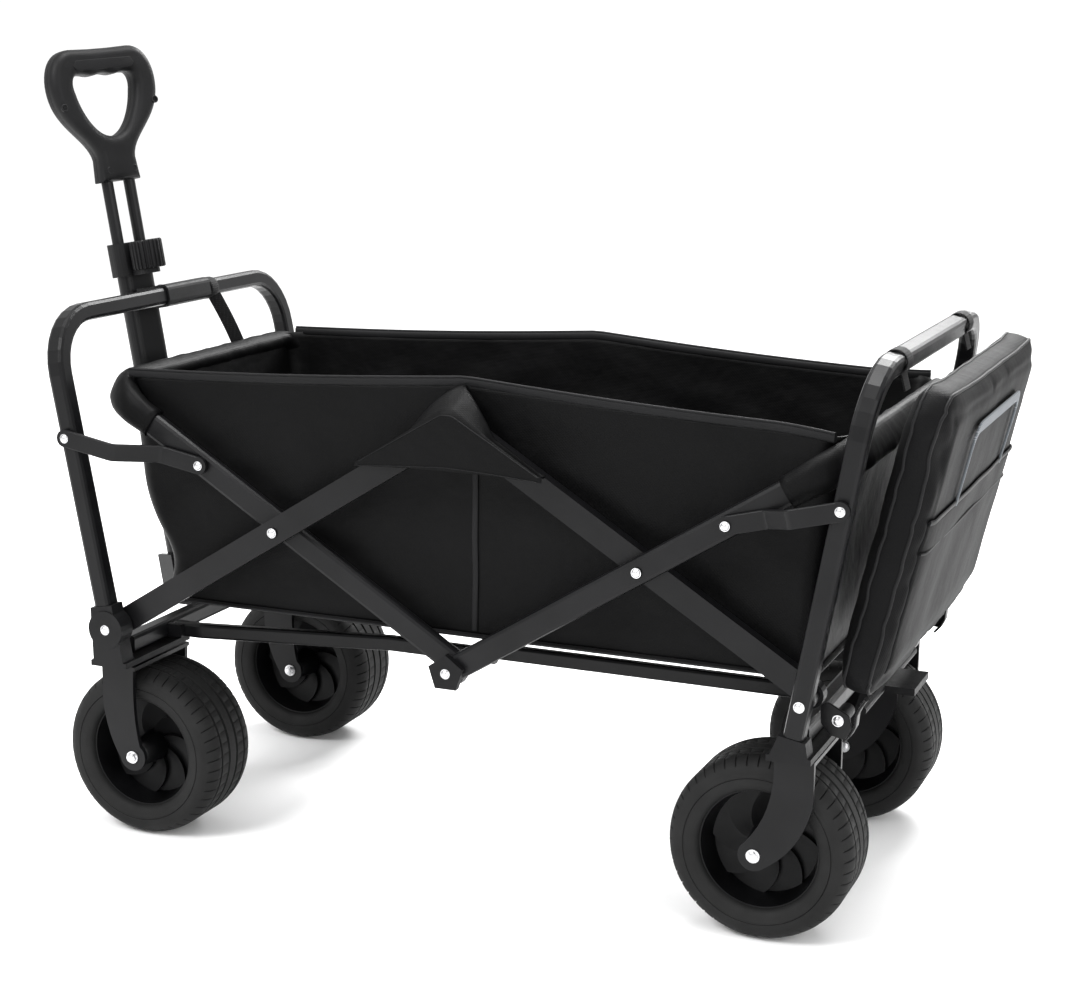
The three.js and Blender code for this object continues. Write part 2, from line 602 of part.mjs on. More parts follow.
// The D grip: a flared neck that opens into a ring, in two shells that meet on the handle's mid plane.
function gripShell(from, to) {
  const base = handle.neckAt;
  const { tall, bar } = grip;
  const [half, neck, top] = [grip.wide / 2, grip.neckWide / 2, base + tall];
  const waist = base + 0.17 * tall;
  const widest = base + 0.64 * tall;
  const outline = new THREE.Shape();
  outline.moveTo(-neck, base);
  outline.lineTo(neck, base);
  outline.lineTo(neck - 2, waist);
  outline.bezierCurveTo(neck, waist + 22, half - 8, widest - 32, half - 2, widest);
  outline.bezierCurveTo(half + 3, widest + 26, half - 7, top, half * 0.55, top);
  outline.lineTo(-half * 0.55, top);
  outline.bezierCurveTo(7 - half, top, -half - 3, widest + 26, 2 - half, widest);
  outline.bezierCurveTo(8 - half, widest - 32, -neck, waist + 22, 2 - neck, waist);
  const hole = new THREE.Path();
  const [side, low, high] = [half - bar, base + 0.34 * tall, top - bar];
  hole.moveTo(8 - side, high);
  hole.lineTo(side - 8, high);
  hole.bezierCurveTo(side, high, side + 2, high - 10, side - 1, high - 20);
  hole.bezierCurveTo(side - 5, low + 26, side / 2, low, 0, low);
  hole.bezierCurveTo(-side / 2, low, 5 - side, low + 26, 1 - side, high - 20);
  hole.bezierCurveTo(-side - 2, high - 10, -side, high, 8 - side, high);
  outline.holes.push(hole);
  return plateX(outline, from, to, 6);
}

function addGrip() {
  const half = grip.thick / 2;
  const bores = [-1, 1].map((s) => rodZ(handle.rod + clearance, 0, (s * handle.rodGap) / 2,
    handle.neckAt - 20, handle.neckAt + 30 + clearance));
  add('grip_front_shell', cut(gripShell(clearance / 2, half), ...bores), moulding(), handleTurn);
  add('grip_rear_shell', cut(gripShell(-half, -clearance / 2), ...bores), moulding(), handleTurn);
}

// The clip that holds the stowed handle against the front hoop.
function addClip() {
  const barX = onHoop(frontFoot, -frontLean, hoop.top).x;
  const reach = halfTube + clearance + clip.jaw;
  const rise = hoop.top - handle.foot.z;
  const handleX = handle.foot.x - Math.tan(radians(handle.lean)) * rise;
  const inner = hoop.tube + 2 * clearance;
  const outer = inner + 2 * clip.wall;
  const onBar = (outline, y0, y1) => plateY(outline, y0, y1, 2).rotateY(-radians(frontLean))
    .translate(barX, 0, hoop.top);
  const band = onBar(roundedRect(outer, outer, hoop.corner + clip.wall), clip.from, clip.to);
  const hole = onBar(roundedRect(inner, inner, hoop.corner), clip.from - 1, clip.to + 1);
  const jaw = box(barX - reach, barX, clip.from, -clip.from, hoop.top - clip.rise, hoop.top + clip.rise);
  const seat = rodZ(clip.seat, 0, 0, -60, 60, 32).rotateY(-radians(handle.lean));
  seat.translate(handleX, 0, hoop.top);
  add('handle_clip', cut(join(band, jaw), hole, seat), moulding());
}

// ---------- bag and cover pad ----------

// The side wall's outline: its upper edge follows the rising arms to the top pivot.
function sideOutline() {
  const edge = arm.deep / 2;
  const { front, rear, floor } = bag;
  const shape = new THREE.Shape();
  shape.moveTo(front + 24, floor);
  shape.lineTo(rear - 18, floor);
  shape.lineTo(rear, rearCorner.z + edge);
  shape.quadraticCurveTo(rear * 0.6, scissor.top + edge, 0, scissor.top + 2 * edge);
  shape.quadraticCurveTo(front * 0.6, scissor.top + edge, front, frontCorner.z + edge);
  return shape;
}

function addBag() {
  const { side, wall, floor, floorThick, front, rear } = bag;
  for (const [word, s] of sides) {
    const panel = plateY(sideOutline(), s * (side - wall), s * side, 5);
    add(`bag_side_${word}`, panel, fabric());
  }
  const half = side - wall - clearance;
  const top = frontCorner.z - arm.deep / 2 - sleeve.wall - 3;
  const lean = (x0, x1, z1) => plateY(new THREE.Shape([
    new THREE.Vector2(x0, floor), new THREE.Vector2(x0 + wall, floor),
    new THREE.Vector2(x1 + wall, z1), new THREE.Vector2(x1, z1),
  ]), -half, half);
  add('bag_front_wall', lean(front + 24, front, top), fabric());
  add('bag_rear_wall', lean(rear - 18 - wall, rear - wall, top), fabric());
  const floorHalf = half;
  const [x0, x1] = [front + 24 + wall + 3, rear - 18 - wall - 3];
  add('bag_floor', box(x0, x1, -floorHalf, floorHalf, floor, floor + floorThick), fabric());
}

// The sleeve sewn round a U arm's end bar.
function sleeveGeometry(low, corner) {
  const heading = Math.atan2(corner.z - low.z, corner.x - low.x);
  const grow = 2 * (sleeve.wall + clearance);
  const section = roundedRect(arm.thick + grow, arm.deep + grow, arm.corner + 2);
  const outer = plateY(section, -sleeve.half, sleeve.half, 1);
  const bore = plateY(roundedRect(arm.thick + 2 * clearance, arm.deep + 2 * clearance, arm.corner),
    -sleeve.half - 1, sleeve.half + 1, 1);
  return cut(outer, bore).rotateY(-heading).translate(corner.x, 0, corner.z);
}

function addSleeves() {
  add('front_rim_sleeve', sleeveGeometry(lowPivot, frontCorner), fabric());
  add('rear_rim_sleeve', sleeveGeometry(lowPivot, rearCorner), fabric());
}

// The padded cover, standing on the rear hoop's outer side and leaning with it.
function addCoverPad() {
  const lean = radians(pad.lean);
  const outline = roundedRect(2 * pad.half, (pad.top - pad.bottom) / Math.cos(lean), pad.corner);
  const mid = (pad.top + pad.bottom) / 2;
  const inner = onHoop(rearFoot, rearLean, mid).x + (halfTube + pad.setOff) / Math.cos(lean);
  const shell = plateX(outline, 0, pad.thick, 4).rotateY(lean).translate(inner, 0, mid);
  add('cover_pad', shell, fabric());
  const reach = (z) => (z - mid) / Math.cos(lean);
  const [low, high] = [reach(carryStrap.low), reach(carryStrap.high)];
  const strapOutline = new THREE.Shape();
  strapOutline.moveTo(carryStrap.from, low);
  strapOutline.lineTo(carryStrap.from, high);
  strapOutline.lineTo(carryStrap.to, high);
  strapOutline.lineTo(carryStrap.to, low);
  strapOutline.lineTo(carryStrap.to - carryStrap.legs, low);
  strapOutline.lineTo(carryStrap.to - carryStrap.legs, high - carryStrap.band);
  strapOutline.lineTo(carryStrap.from + carryStrap.legs, high - carryStrap.band);
  strapOutline.lineTo(carryStrap.from + carryStrap.legs, low);
  const face = pad.thick + clearance;
  const strap = plateX(strapOutline, face, face + carryStrap.thick).rotateY(lean).translate(inner, 0, mid);
  add('cover_strap', strap, webbing());
}

addEndFrames();
addFoldingSides();
addFloorBars();
addWheels();
addBrake();
addHandleTube();
addGrip();
addClip();
addBag();
addSleeves();
addCoverPad();
model.add(handleGroup);

// The origin is the middle of the box's bottom face.
model.updateMatrixWorld(true);
const extent = new THREE.Box3().setFromObject(model, true);
const middle = extent.getCenter(new THREE.Vector3());
model.position.set(-middle.x, -middle.y, -extent.min.z);

export default model;
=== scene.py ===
"""Folding utility wagon with a pull handle: the looks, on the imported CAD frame. Metres, +Z up."""

import json
import math

import bmesh
import bpy
from mathutils import Matrix, Vector, noise
from mathutils.bvhtree import BVHTree

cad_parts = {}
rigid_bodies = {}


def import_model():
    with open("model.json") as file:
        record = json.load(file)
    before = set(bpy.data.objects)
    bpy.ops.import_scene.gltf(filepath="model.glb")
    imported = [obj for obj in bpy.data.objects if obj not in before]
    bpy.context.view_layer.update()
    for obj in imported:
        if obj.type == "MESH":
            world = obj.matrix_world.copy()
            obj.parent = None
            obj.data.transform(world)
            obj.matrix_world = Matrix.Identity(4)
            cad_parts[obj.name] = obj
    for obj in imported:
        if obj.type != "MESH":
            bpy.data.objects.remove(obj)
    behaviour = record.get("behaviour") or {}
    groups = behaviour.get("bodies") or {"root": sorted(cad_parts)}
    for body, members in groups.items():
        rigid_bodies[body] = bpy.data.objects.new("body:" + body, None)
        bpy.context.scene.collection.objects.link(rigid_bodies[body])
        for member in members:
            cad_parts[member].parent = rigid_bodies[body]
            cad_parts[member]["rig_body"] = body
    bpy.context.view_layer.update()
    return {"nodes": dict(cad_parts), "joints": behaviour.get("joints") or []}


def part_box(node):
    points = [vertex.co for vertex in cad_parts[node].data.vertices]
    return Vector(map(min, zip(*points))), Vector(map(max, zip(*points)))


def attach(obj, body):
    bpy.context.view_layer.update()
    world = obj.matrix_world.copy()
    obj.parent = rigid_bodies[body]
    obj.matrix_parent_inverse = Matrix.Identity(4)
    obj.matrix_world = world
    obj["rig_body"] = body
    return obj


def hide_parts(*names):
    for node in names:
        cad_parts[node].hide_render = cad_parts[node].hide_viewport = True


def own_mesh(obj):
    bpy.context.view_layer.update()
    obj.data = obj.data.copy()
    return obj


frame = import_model()

# ---------- what the frame says ----------

joints = {j["name"]: j for j in frame["joints"]}
SIDES = (("left", -1), ("right", 1))


def joint_at(name):
    return Vector(joints[name]["pos_m"])


def box(node):
    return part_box(node)


def middle(node):
    low, high = box(node)
    return (low + high) / 2


mm = 0.001
P_FRONT = joint_at("fold")
P_REAR = joint_at("rear_frame_turn")
X_FRONT = joint_at("front_u_turn")
X_REAR = joint_at("rear_u_turn")
TOP = joint_at("top_turn")
LINK_FRONT = joint_at("front_link_turn")
LINK_REAR = joint_at("rear_link_turn")
LOW = Vector((TOP.x, 0, X_FRONT.z * 2 - TOP.z))

HOOP_HALF = box("front_hoop")[1].y
TUBE = 19 * mm
ARM_DEEP = 25 * mm
ARM_THICK = 13 * mm
INNER_PLANE = box("front_u_arm")[1].y - ARM_THICK / 2
OUTER_PLANE = box("rear_u_arm")[1].y - ARM_THICK / 2
LINK_FACE = box("front_link_left")[0].y

BAG_HALF = box("bag_side_right")[1].y
FLOOR_Z = box("bag_floor")[0].z
MID_X = TOP.x
FRONT_BAR = middle("front_rim_sleeve")
REAR_BAR = middle("rear_rim_sleeve")
RIM_END_Z = FRONT_BAR.z + 14 * mm
RIM_TOP_Z = TOP.z + 39 * mm

# ---------- materials ----------


def new_material(name, roughness, metallic=0.0, **sockets):
    made = bpy.data.materials.new(name)
    made.use_nodes = True
    shader = made.node_tree.nodes["Principled BSDF"]
    shader.inputs["Roughness"].default_value = roughness
    shader.inputs["Metallic"].default_value = metallic
    for key, value in sockets.items():
        shader.inputs[key.replace("_", " ")].default_value = value
    return made, shader


def link(made, output, socket):
    made.node_tree.links.new(output, socket)


def add_node(made, kind, **inputs):
    node = made.node_tree.nodes.new(kind)
    for key, value in inputs.items():
        node.inputs[key.replace("_", " ")].default_value = value
    return node


def object_place(made, stretch=(1, 1, 1)):
    """Object coordinates, stretched along the axes."""
    place = made.node_tree.nodes.new("ShaderNodeTexCoord")
    mapping = add_node(made, "ShaderNodeMapping", Scale=stretch)
    link(made, place.outputs["Object"], mapping.inputs["Vector"])
    return mapping.outputs["Vector"]


def noise_value(made, vector, scale, detail=3.0, rough=0.5):
    node = add_node(made, "ShaderNodeTexNoise", Scale=scale, Detail=detail, Roughness=rough)
    link(made, vector, node.inputs["Vector"])
    return node.outputs["Fac"]


def wave_value(made, vector, scale, axis, distortion=0.0):
    node = add_node(made, "ShaderNodeTexWave", Scale=scale, Distortion=distortion)
    node.bands_direction = axis
    link(made, vector, node.inputs["Vector"])
    return node.outputs["Fac"]


def math_value(made, operation, first, second):
    node = made.node_tree.nodes.new("ShaderNodeMath")
    node.operation = operation
    for socket, value in zip(node.inputs, (first, second)):
        if isinstance(value, float):
            socket.default_value = value
        else:
            link(made, value, socket)
    return node.outputs[0]


def ramp_colour(made, shader, fac, dark, light, low=0.35, high=0.65):
    ramp = made.node_tree.nodes.new("ShaderNodeValToRGB")
    ramp.color_ramp.elements[0].position = low
    ramp.color_ramp.elements[1].position = high
    ramp.color_ramp.elements[0].color = (*dark, 1)
    ramp.color_ramp.elements[1].color = (*light, 1)
    link(made, fac, ramp.inputs["Fac"])
    link(made, ramp.outputs["Color"], shader.inputs["Base Color"])


def roughness_range(made, shader, fac, low, high):
    node = add_node(made, "ShaderNodeMapRange", To_Min=low, To_Max=high)
    link(made, fac, node.inputs["Value"])
    link(made, node.outputs["Result"], shader.inputs["Roughness"])


def bump(made, shader, *layers):
    """Each layer is (height output, strength, distance in metres)."""
    normal = None
    for height, strength, distance in layers:
        node = add_node(made, "ShaderNodeBump", Strength=strength, Distance=distance)
        link(made, height, node.inputs["Height"])
        if normal:
            link(made, normal, node.inputs["Normal"])
        normal = node.outputs["Normal"]
    link(made, normal, shader.inputs["Normal"])


def plain(name, gloss, tone, dark, light, grain, rough, *bumps, metallic=0.0, **sockets):
    """A hard finish: soft changes of tone, uneven gloss and a fine grain, each from its own noise."""
    made, shader = new_material(name, gloss, metallic, **sockets)
    place = object_place(made)
    ramp_colour(made, shader, noise_value(made, place, *tone), dark, light)
    roughness_range(made, shader, noise_value(made, place, *grain), *rough)
    bump(made, shader, *[(noise_value(made, place, *field), strength, distance)
                         for field, strength, distance in bumps])
    return made


def woven(name, dark, light, roughness, thread=1250.0, sheen=0.03, creases=0.5, shine=0.15):
    """A plain weave: crossed threads, fine fuzz and broad soft creases."""
    made, shader = new_material(name, roughness, Sheen_Weight=sheen, Sheen_Roughness=0.45,
                                Specular_IOR_Level=shine)
    place = object_place(made)
    across = wave_value(made, place, thread / 6.2832, "Z")
    along = wave_value(made, place, thread / 6.2832, "DIAGONAL", 0.15)
    threads = math_value(made, "MULTIPLY", across, along)
    broad = noise_value(made, place, 9, 4, 0.55)
    fuzz = noise_value(made, place, 700, 3, 0.7)
    tone = math_value(made, "ADD", math_value(made, "MULTIPLY", broad, 0.7),
                      math_value(made, "MULTIPLY", threads, 0.3))
    ramp_colour(made, shader, tone, dark, light, 0.3, 0.75)
    roughness_range(made, shader, fuzz, roughness - 0.08, min(1.0, roughness + 0.1))
    bump(made, shader, (broad, creases, 0.012), (threads, 0.3, 0.0004), (fuzz, 0.25, 0.0003))
    return made


def ribbed_webbing(name, dark, light):
    made, shader = new_material(name, 0.75, Sheen_Weight=0.05, Specular_IOR_Level=0.2)
    place = object_place(made)
    ribs = wave_value(made, place, 140, "Z")
    chevron = wave_value(made, place, 110, "Y", 1.2)
    weave = math_value(made, "MULTIPLY", ribs, chevron)
    ramp_colour(made, shader, weave, dark, light, 0.1, 0.8)
    bump(made, shader, (weave, 0.6, 0.0007), (noise_value(made, place, 900, 3), 0.2, 0.0003))
    return made


STEEL = plain("powder_coat", 0.34, (14,), (0.0022, 0.0022, 0.0025), (0.0045, 0.0045, 0.005),
              (40, 4), (0.28, 0.42), ((1600, 2), 0.25, 0.0003), ((90, 2), 0.06, 0.0006),
              Specular_IOR_Level=0.17)
PLASTIC = plain("moulded_plastic", 0.5, (25,), (0.0022, 0.0022, 0.0025), (0.0042, 0.0042, 0.0047),
                (120, 3), (0.42, 0.6), ((2200, 3, 0.7), 0.35, 0.0003), Specular_IOR_Level=0.16)
RUBBER = plain("tyre_rubber", 0.7, (18, 5), (0.004, 0.004, 0.004), (0.008, 0.008, 0.008),
               (60, 4), (0.58, 0.82), ((900, 4, 0.65), 0.4, 0.0004), Specular_IOR_Level=0.2)
HUB = plain("hub_plastic", 0.32, (30,), (0.001, 0.001, 0.0012), (0.0022, 0.0022, 0.0025),
            (90, 3), (0.32, 0.48), ((1400, 2), 0.2, 0.0002), Specular_IOR_Level=0.14)
ZINC = plain("zinc_steel", 0.28, (300, 3), (0.5, 0.5, 0.51), (0.72, 0.72, 0.73),
             (500, 4), (0.2, 0.4), ((1500, 2), 0.15, 0.0002), metallic=1.0)
BAG = woven("bag_cloth", (0.0006, 0.0006, 0.0007), (0.0016, 0.0016, 0.0018), 0.5, sheen=0.0, shine=0.09)
BINDING = woven("binding_tape", (0.003, 0.003, 0.0033), (0.008, 0.008, 0.0088), 0.55, thread=2200.0,
                sheen=0.02, creases=0.1)
PAD = woven("cover_cloth", (0.0012, 0.0012, 0.0014), (0.0028, 0.0028, 0.0031), 0.62, sheen=0.0,
            creases=0.3, shine=0.09)
BLACK_WEB = ribbed_webbing("black_webbing", (0.001, 0.001, 0.0012), (0.004, 0.004, 0.0045))
GREY_WEB = ribbed_webbing("grey_webbing", (0.10, 0.11, 0.12), (0.24, 0.25, 0.27))

# ---------- mesh helpers ----------


def piece(name, shape, made, body, smooth_angle=40.0):
    """A new piece from a (vertices, faces) pair."""
    verts, faces = shape
    mesh = bpy.data.meshes.new(name)
    mesh.from_pydata([tuple(v) for v in verts], [], faces)
    mesh.validate()
    obj = bpy.data.objects.new(name, mesh)
    return dress(obj, made, body, smooth_angle)


def dress(obj, made, body, smooth_angle=40.0):
    if obj.name not in bpy.context.scene.collection.objects:
        bpy.context.scene.collection.objects.link(obj)
    mesh = obj.data
    build = bmesh.new()
    build.from_mesh(mesh)
    bmesh.ops.remove_doubles(build, verts=build.verts, dist=1e-6)
    bmesh.ops.recalc_face_normals(build, faces=build.faces)
    build.to_mesh(mesh)
    build.free()
    mesh.materials.clear()
    mesh.materials.append(made)
    mesh.shade_smooth()
    mesh.set_sharp_from_angle(angle=math.radians(smooth_angle))
    if body:
        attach(obj, body)
    return obj


def modify(obj, kind, **settings):
    modifier = obj.modifiers.new(kind.lower(), kind)
    for key, value in settings.items():
        setattr(modifier, key, value)
    return modifier


def bevel(obj, width, segments=3, angle=30.0):
    return modify(obj, "BEVEL", width=width, segments=segments, limit_method="ANGLE",
                  angle_limit=math.radians(angle), harden_normals=False)


def applied(obj):
    """Applies every modifier to the mesh."""
    bpy.context.view_layer.update()
    graph = bpy.context.evaluated_depsgraph_get()
    mesh = bpy.data.meshes.new_from_object(obj.evaluated_get(graph))
    obj.modifiers.clear()
    obj.data = mesh
    return obj


def cloth(name, shape, made, body, thickness, offset):
    """A sheet of fabric, given its thickness."""
    obj = piece(name, shape, made, None, 180)
    modify(obj, "SOLIDIFY", thickness=thickness, offset=offset)
    applied(obj)
    return dress(obj, made, body, 180)


def loft(rings, closed_ring=True, capped=False, closed_path=False):
    """Vertices and faces that join equal rings of points."""
    verts = [v for ring in rings for v in ring]
    count = len(rings[0])
    faces = []
    last = len(rings) if closed_path else len(rings) - 1
    for i in range(last):
        a, b = i * count, ((i + 1) % len(rings)) * count
        for j in range(count if closed_ring else count - 1):
            k = (j + 1) % count
            faces.append((a + j, a + k, b + k, b + j))
    if capped:
        faces.append(tuple(range(count))[::-1])
        faces.append(tuple(range(len(verts) - count, len(verts))))
    return verts, faces


def turned(profile, centre, axis, steps=48):
    """A body of revolution. The profile lists (radius, distance along the axis)."""
    axis = Vector(axis).normalized()
    side = axis.orthogonal().normalized()
    other = axis.cross(side)
    rings = []
    for k in range(steps):
        angle = 2 * math.pi * k / steps
        out = side * math.cos(angle) + other * math.sin(angle)
        rings.append([Vector(centre) + out * max(r, 1e-7) + axis * d for r, d in profile])
    return loft(rings, closed_ring=False, closed_path=True)


def rounded(corners, radius, steps=6):
    """A polyline with its inner corners rounded off by arcs."""
    points = [Vector(corners[0])]
    for before, at, after in zip(corners, corners[1:], corners[2:]):
        at = Vector(at)
        back = (Vector(before) - at).normalized()
        ahead = (Vector(after) - at).normalized()
        turn = math.pi - back.angle(ahead)
        if turn < 1e-3:
            points.append(at)
            continue
        setback = radius * math.tan(turn / 2)
        centre = at + (back + ahead).normalized() * (radius / math.cos(turn / 2))
        start = at + back * setback - centre
        spin = back.cross(ahead).normalized()
        for k in range(steps + 1):
            points.append(centre + Matrix.Rotation(-turn * k / steps, 3, spin) @ start)
    points.append(Vector(corners[-1]))
    return points


def swept(points, section, flat, closed=False):
    """Sweeps a section [(across, up)] along points. `flat` is the direction that `across` follows."""
    rings = []
    count = len(points)
    for i, at in enumerate(points):
        before = points[i - 1] if (i or closed) else at
        after = points[(i + 1) % count] if (i < count - 1 or closed) else at
        heading = (Vector(after) - Vector(before)).normalized()
        flat_here = Vector(flat(i)) if callable(flat) else Vector(flat)
        across = (flat_here - heading * flat_here.dot(heading)).normalized()
        up = heading.cross(across)
        rings.append([Vector(at) + across * a + up * b for a, b in section])
    return loft(rings, capped=not closed, closed_path=closed)


def oval(wide, tall, steps=16, power=1.0):
    ring = []
    for k in range(steps):
        angle = 2 * math.pi * k / steps
        c, s = math.cos(angle), math.sin(angle)
        ring.append((math.copysign(abs(c) ** power, c) * wide / 2,
                     math.copysign(abs(s) ** power, s) * tall / 2))
    return ring


def dense(points, spacing):
    """The polyline with extra points so that no step is longer than spacing."""
    made = [Vector(points[0])]
    for a, b in zip(points, points[1:]):
        a, b = Vector(a), Vector(b)
        steps = max(1, math.ceil((b - a).length / spacing))
        made.extend(a.lerp(b, k / steps) for k in range(1, steps + 1))
    return made


def ripple(at, size, seed=0.0):
    """A smooth random number from -1 to 1 that changes over about `size` metres."""
    return noise.noise(Vector(at) / size + Vector((seed, seed * 1.7, seed * 0.3)))


# ---------- CAD nodes that stay ----------

STEEL_NODES = ["front_hoop", "rear_hoop", "front_u_arm", "rear_u_arm", "front_crossbar", "rear_crossbar",
               "handle_tube", "handle_yoke", "handle_rod_left", "handle_rod_right"]
PLASTIC_NODES = ["lock_collar", "brake_pedal", "floor_hub_tube", "handle_clip"]
for word, _ in SIDES:
    STEEL_NODES += [f"{stem}_{word}" for stem in (
        "front_rising_arm", "rear_falling_arm", "front_link", "rear_link", "front_floor_bar",
        "rear_floor_bar", "front_fork", "rear_fork")]
    PLASTIC_NODES += [f"{stem}_{word}" for stem in ("front_foot", "rear_foot", "lower_joint_cap")]

BEVEL_OF = {"rising_arm": 3.4, "falling_arm": 3.4, "fork": 1.6, "foot": 2.5, "cap": 2.0, "link": 0.9,
            "collar": 2.0, "clip": 1.2, "pedal": 1.5, "yoke": 1.0, "tube": 0.8}


def finish_cad_nodes():
    for names, made in ((STEEL_NODES, STEEL), (PLASTIC_NODES, PLASTIC)):
        for name in names:
            obj = frame["nodes"][name]
            obj.data.materials.clear()
            obj.data.materials.append(made)
            obj.data.shade_smooth()
            obj.data.set_sharp_from_angle(angle=math.radians(32))
            for stem, width in BEVEL_OF.items():
                if stem in name:
                    bevel(obj, width * mm, 3, 40)
                    break
    for end in ("front", "rear"):
        for word, _ in SIDES:
            replace_axle(end, word)


# ---------- wheels ----------


def replace_axle(end, word):
    """The axle bolt: a round head with a chamfered face on each end, each on a washer."""
    node = f"{end}_axle_{word}"
    low, high = box(node)
    centre = (low + high) / 2
    half = (high.y - low.y) / 2
    body = frame["nodes"][node]["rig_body"]
    side = [(0, half), (3.4 * mm, half), (5.0 * mm, half - 0.9 * mm), (5.2 * mm, half - 3.6 * mm),
            (6.6 * mm, half - 3.8 * mm), (6.8 * mm, half - 4.8 * mm), (4.8 * mm, half - 4.9 * mm)]
    profile = [(r, -y) for r, y in side] + list(reversed(side))
    bolt = piece(f"{end}_axle_bolt_{word}", turned(profile, centre, (0, 1, 0), 30), ZINC, body)
    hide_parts(node)


def tyre_outline(outer, half):
    """Half the tyre's section, bead to middle, as (radius, distance from the middle, slit depth)."""
    line = [(outer - 32 * mm, half - 9 * mm, 0), (outer - 31 * mm, half - 5 * mm, 0),
            (outer - 28.5 * mm, half - 2.2 * mm, 0), (outer - 24 * mm, half - 0.7 * mm, 0),
            (outer - 19 * mm, half - 0.1 * mm, 0), (outer - 18.3 * mm, half - 0.9 * mm, 0),
            (outer - 17.6 * mm, half - 0.1 * mm, 0)]
    for k in range(1, 11):
        turn = math.pi / 2 * k / 11
        slit = 1.5 * mm if 5 <= k <= 9 else 0
        line.append((outer - 15.6 * mm * (1 - math.sin(turn)), half - 20 * mm * (1 - math.cos(turn)), slit))
    for groove, wide in ((0.50, 1.5), (0.17, 1.9)):
        edge = groove * half
        shoulder = line[-1][1]
        gap = shoulder - edge
        line.append((outer, shoulder - gap * 0.25, 0.9 * mm))
        line.append((outer, shoulder - gap * 0.6, 0.9 * mm))
        for stand, deep in ((wide, 0), (wide * 0.6, 3.4), (-wide * 0.6, 3.4), (-wide, 0)):
            line.append((outer - deep * mm, edge + stand * mm, 0))
    return line


def build_tyre(end, word):
    low, high = box(f"{end}_tyre_{word}")
    centre = (low + high) / 2
    side = tyre_outline((high.z - low.z) / 2, (high.y - low.y) / 2)
    section = [(r, -y, slit) for r, y, slit in side] + list(reversed(side))
    slits = 48
    rings = []
    for k in range(slits):
        for share in (0.0, 0.42, 0.5, 0.58):
            angle = 2 * math.pi * (k + share) / slits
            ring = []
            for r, y, slit in section:
                turn = angle + y * 1.2
                cut = slit if share == 0.5 else 0
                out = Vector((math.cos(turn), 0, math.sin(turn)))
                ring.append(centre + out * (r - cut) + Vector((0, y, 0)))
            rings.append(ring)
    shape = loft(rings, closed_ring=True, closed_path=True)
    tyre = piece(f"{end}_tread_tyre_{word}", shape, RUBBER, f"{end}_wheel_{word}", 38)
    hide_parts(f"{end}_tyre_{word}")


BLADES = 8


def turbine_web(centre, inner, outer, floor, lift):
    """The hub's web: eight swept blades on each face, each rising to a sharp trailing edge."""
    rings = []
    radii = [inner + (outer - inner) * k / 12 for k in range(13)]
    for face, run in ((1, radii), (-1, list(reversed(radii)))):
        for r in run:
            swirl = face * 0.85 * ((r - inner) / (outer - inner)) ** 1.2
            ring = []
            for blade in range(BLADES):
                for step in range(9):
                    share = step / 8
                    angle = 2 * math.pi * (blade + share * 0.999) / BLADES + swirl
                    height = floor + lift * share ** 1.6
                    ring.append(centre + Vector((r * math.cos(angle), face * height, r * math.sin(angle))))
            rings.append(ring)
    return loft(rings, closed_path=True)


def build_hub(end, word):
    low, high = box(f"{end}_hub_{word}")
    tyre_low, tyre_high = box(f"{end}_tyre_{word}")
    centre = (low + high) / 2
    half = (high.y - low.y) / 2
    rim = (high.z - low.z) / 2
    edge = (tyre_high.y - tyre_low.y) / 2 - 9 * mm
    body = f"{end}_wheel_{word}"
    side = [(rim - 0.3 * mm, edge - 1 * mm), (rim - 1.4 * mm, edge), (rim - 3.0 * mm, edge - 0.6 * mm),
            (rim - 4.4 * mm, edge - 5 * mm), (rim - 8 * mm, 14 * mm), (rim - 9 * mm, 6 * mm)]
    profile = side + [(r, -y) for r, y in reversed(side)] + [side[0]]
    hub = piece(f"{end}_wheel_rim_{word}", turned(profile, centre, (0, 1, 0), 80), HUB, body, 32)
    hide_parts(f"{end}_hub_{word}")
    shape = turbine_web(centre, 13 * mm, rim - 5 * mm, 8 * mm, 4.5 * mm)
    piece(f"{end}_wheel_blades_{word}", shape, HUB, body, 30)
    boss = [(5.3 * mm, half), (11.5 * mm, half), (13 * mm, half - 1.5 * mm), (16 * mm, 14 * mm),
            (17 * mm, 6 * mm)]
    profile = boss + [(r, -y) for r, y in reversed(boss)] + [boss[0]]
    piece(f"{end}_wheel_boss_{word}", turned(profile, centre, (0, 1, 0), 40), HUB, body, 40)


# ---------- rivets ----------

FRONT_TIP_SHARE, REAR_TIP_SHARE = 0.453, 0.445
LINK_STAND = 5.5 * mm


def rivet(name, at, y, outward, body, radius=5.4):
    """A domed head with a thin flange, on a washer."""
    r = radius * mm
    profile = [(0, 2.6 * mm), (r * 0.45, 2.4 * mm), (r * 0.8, 1.7 * mm), (r, 0.7 * mm), (r, 0.35 * mm),
               (r * 1.18, 0.3 * mm), (r * 1.18, -0.4 * mm), (0, -0.4 * mm)]
    centre = Vector((at.x, y, at.z))
    return piece(name, turned(profile, centre, (0, outward, 0), 28), ZINC, body, 50)


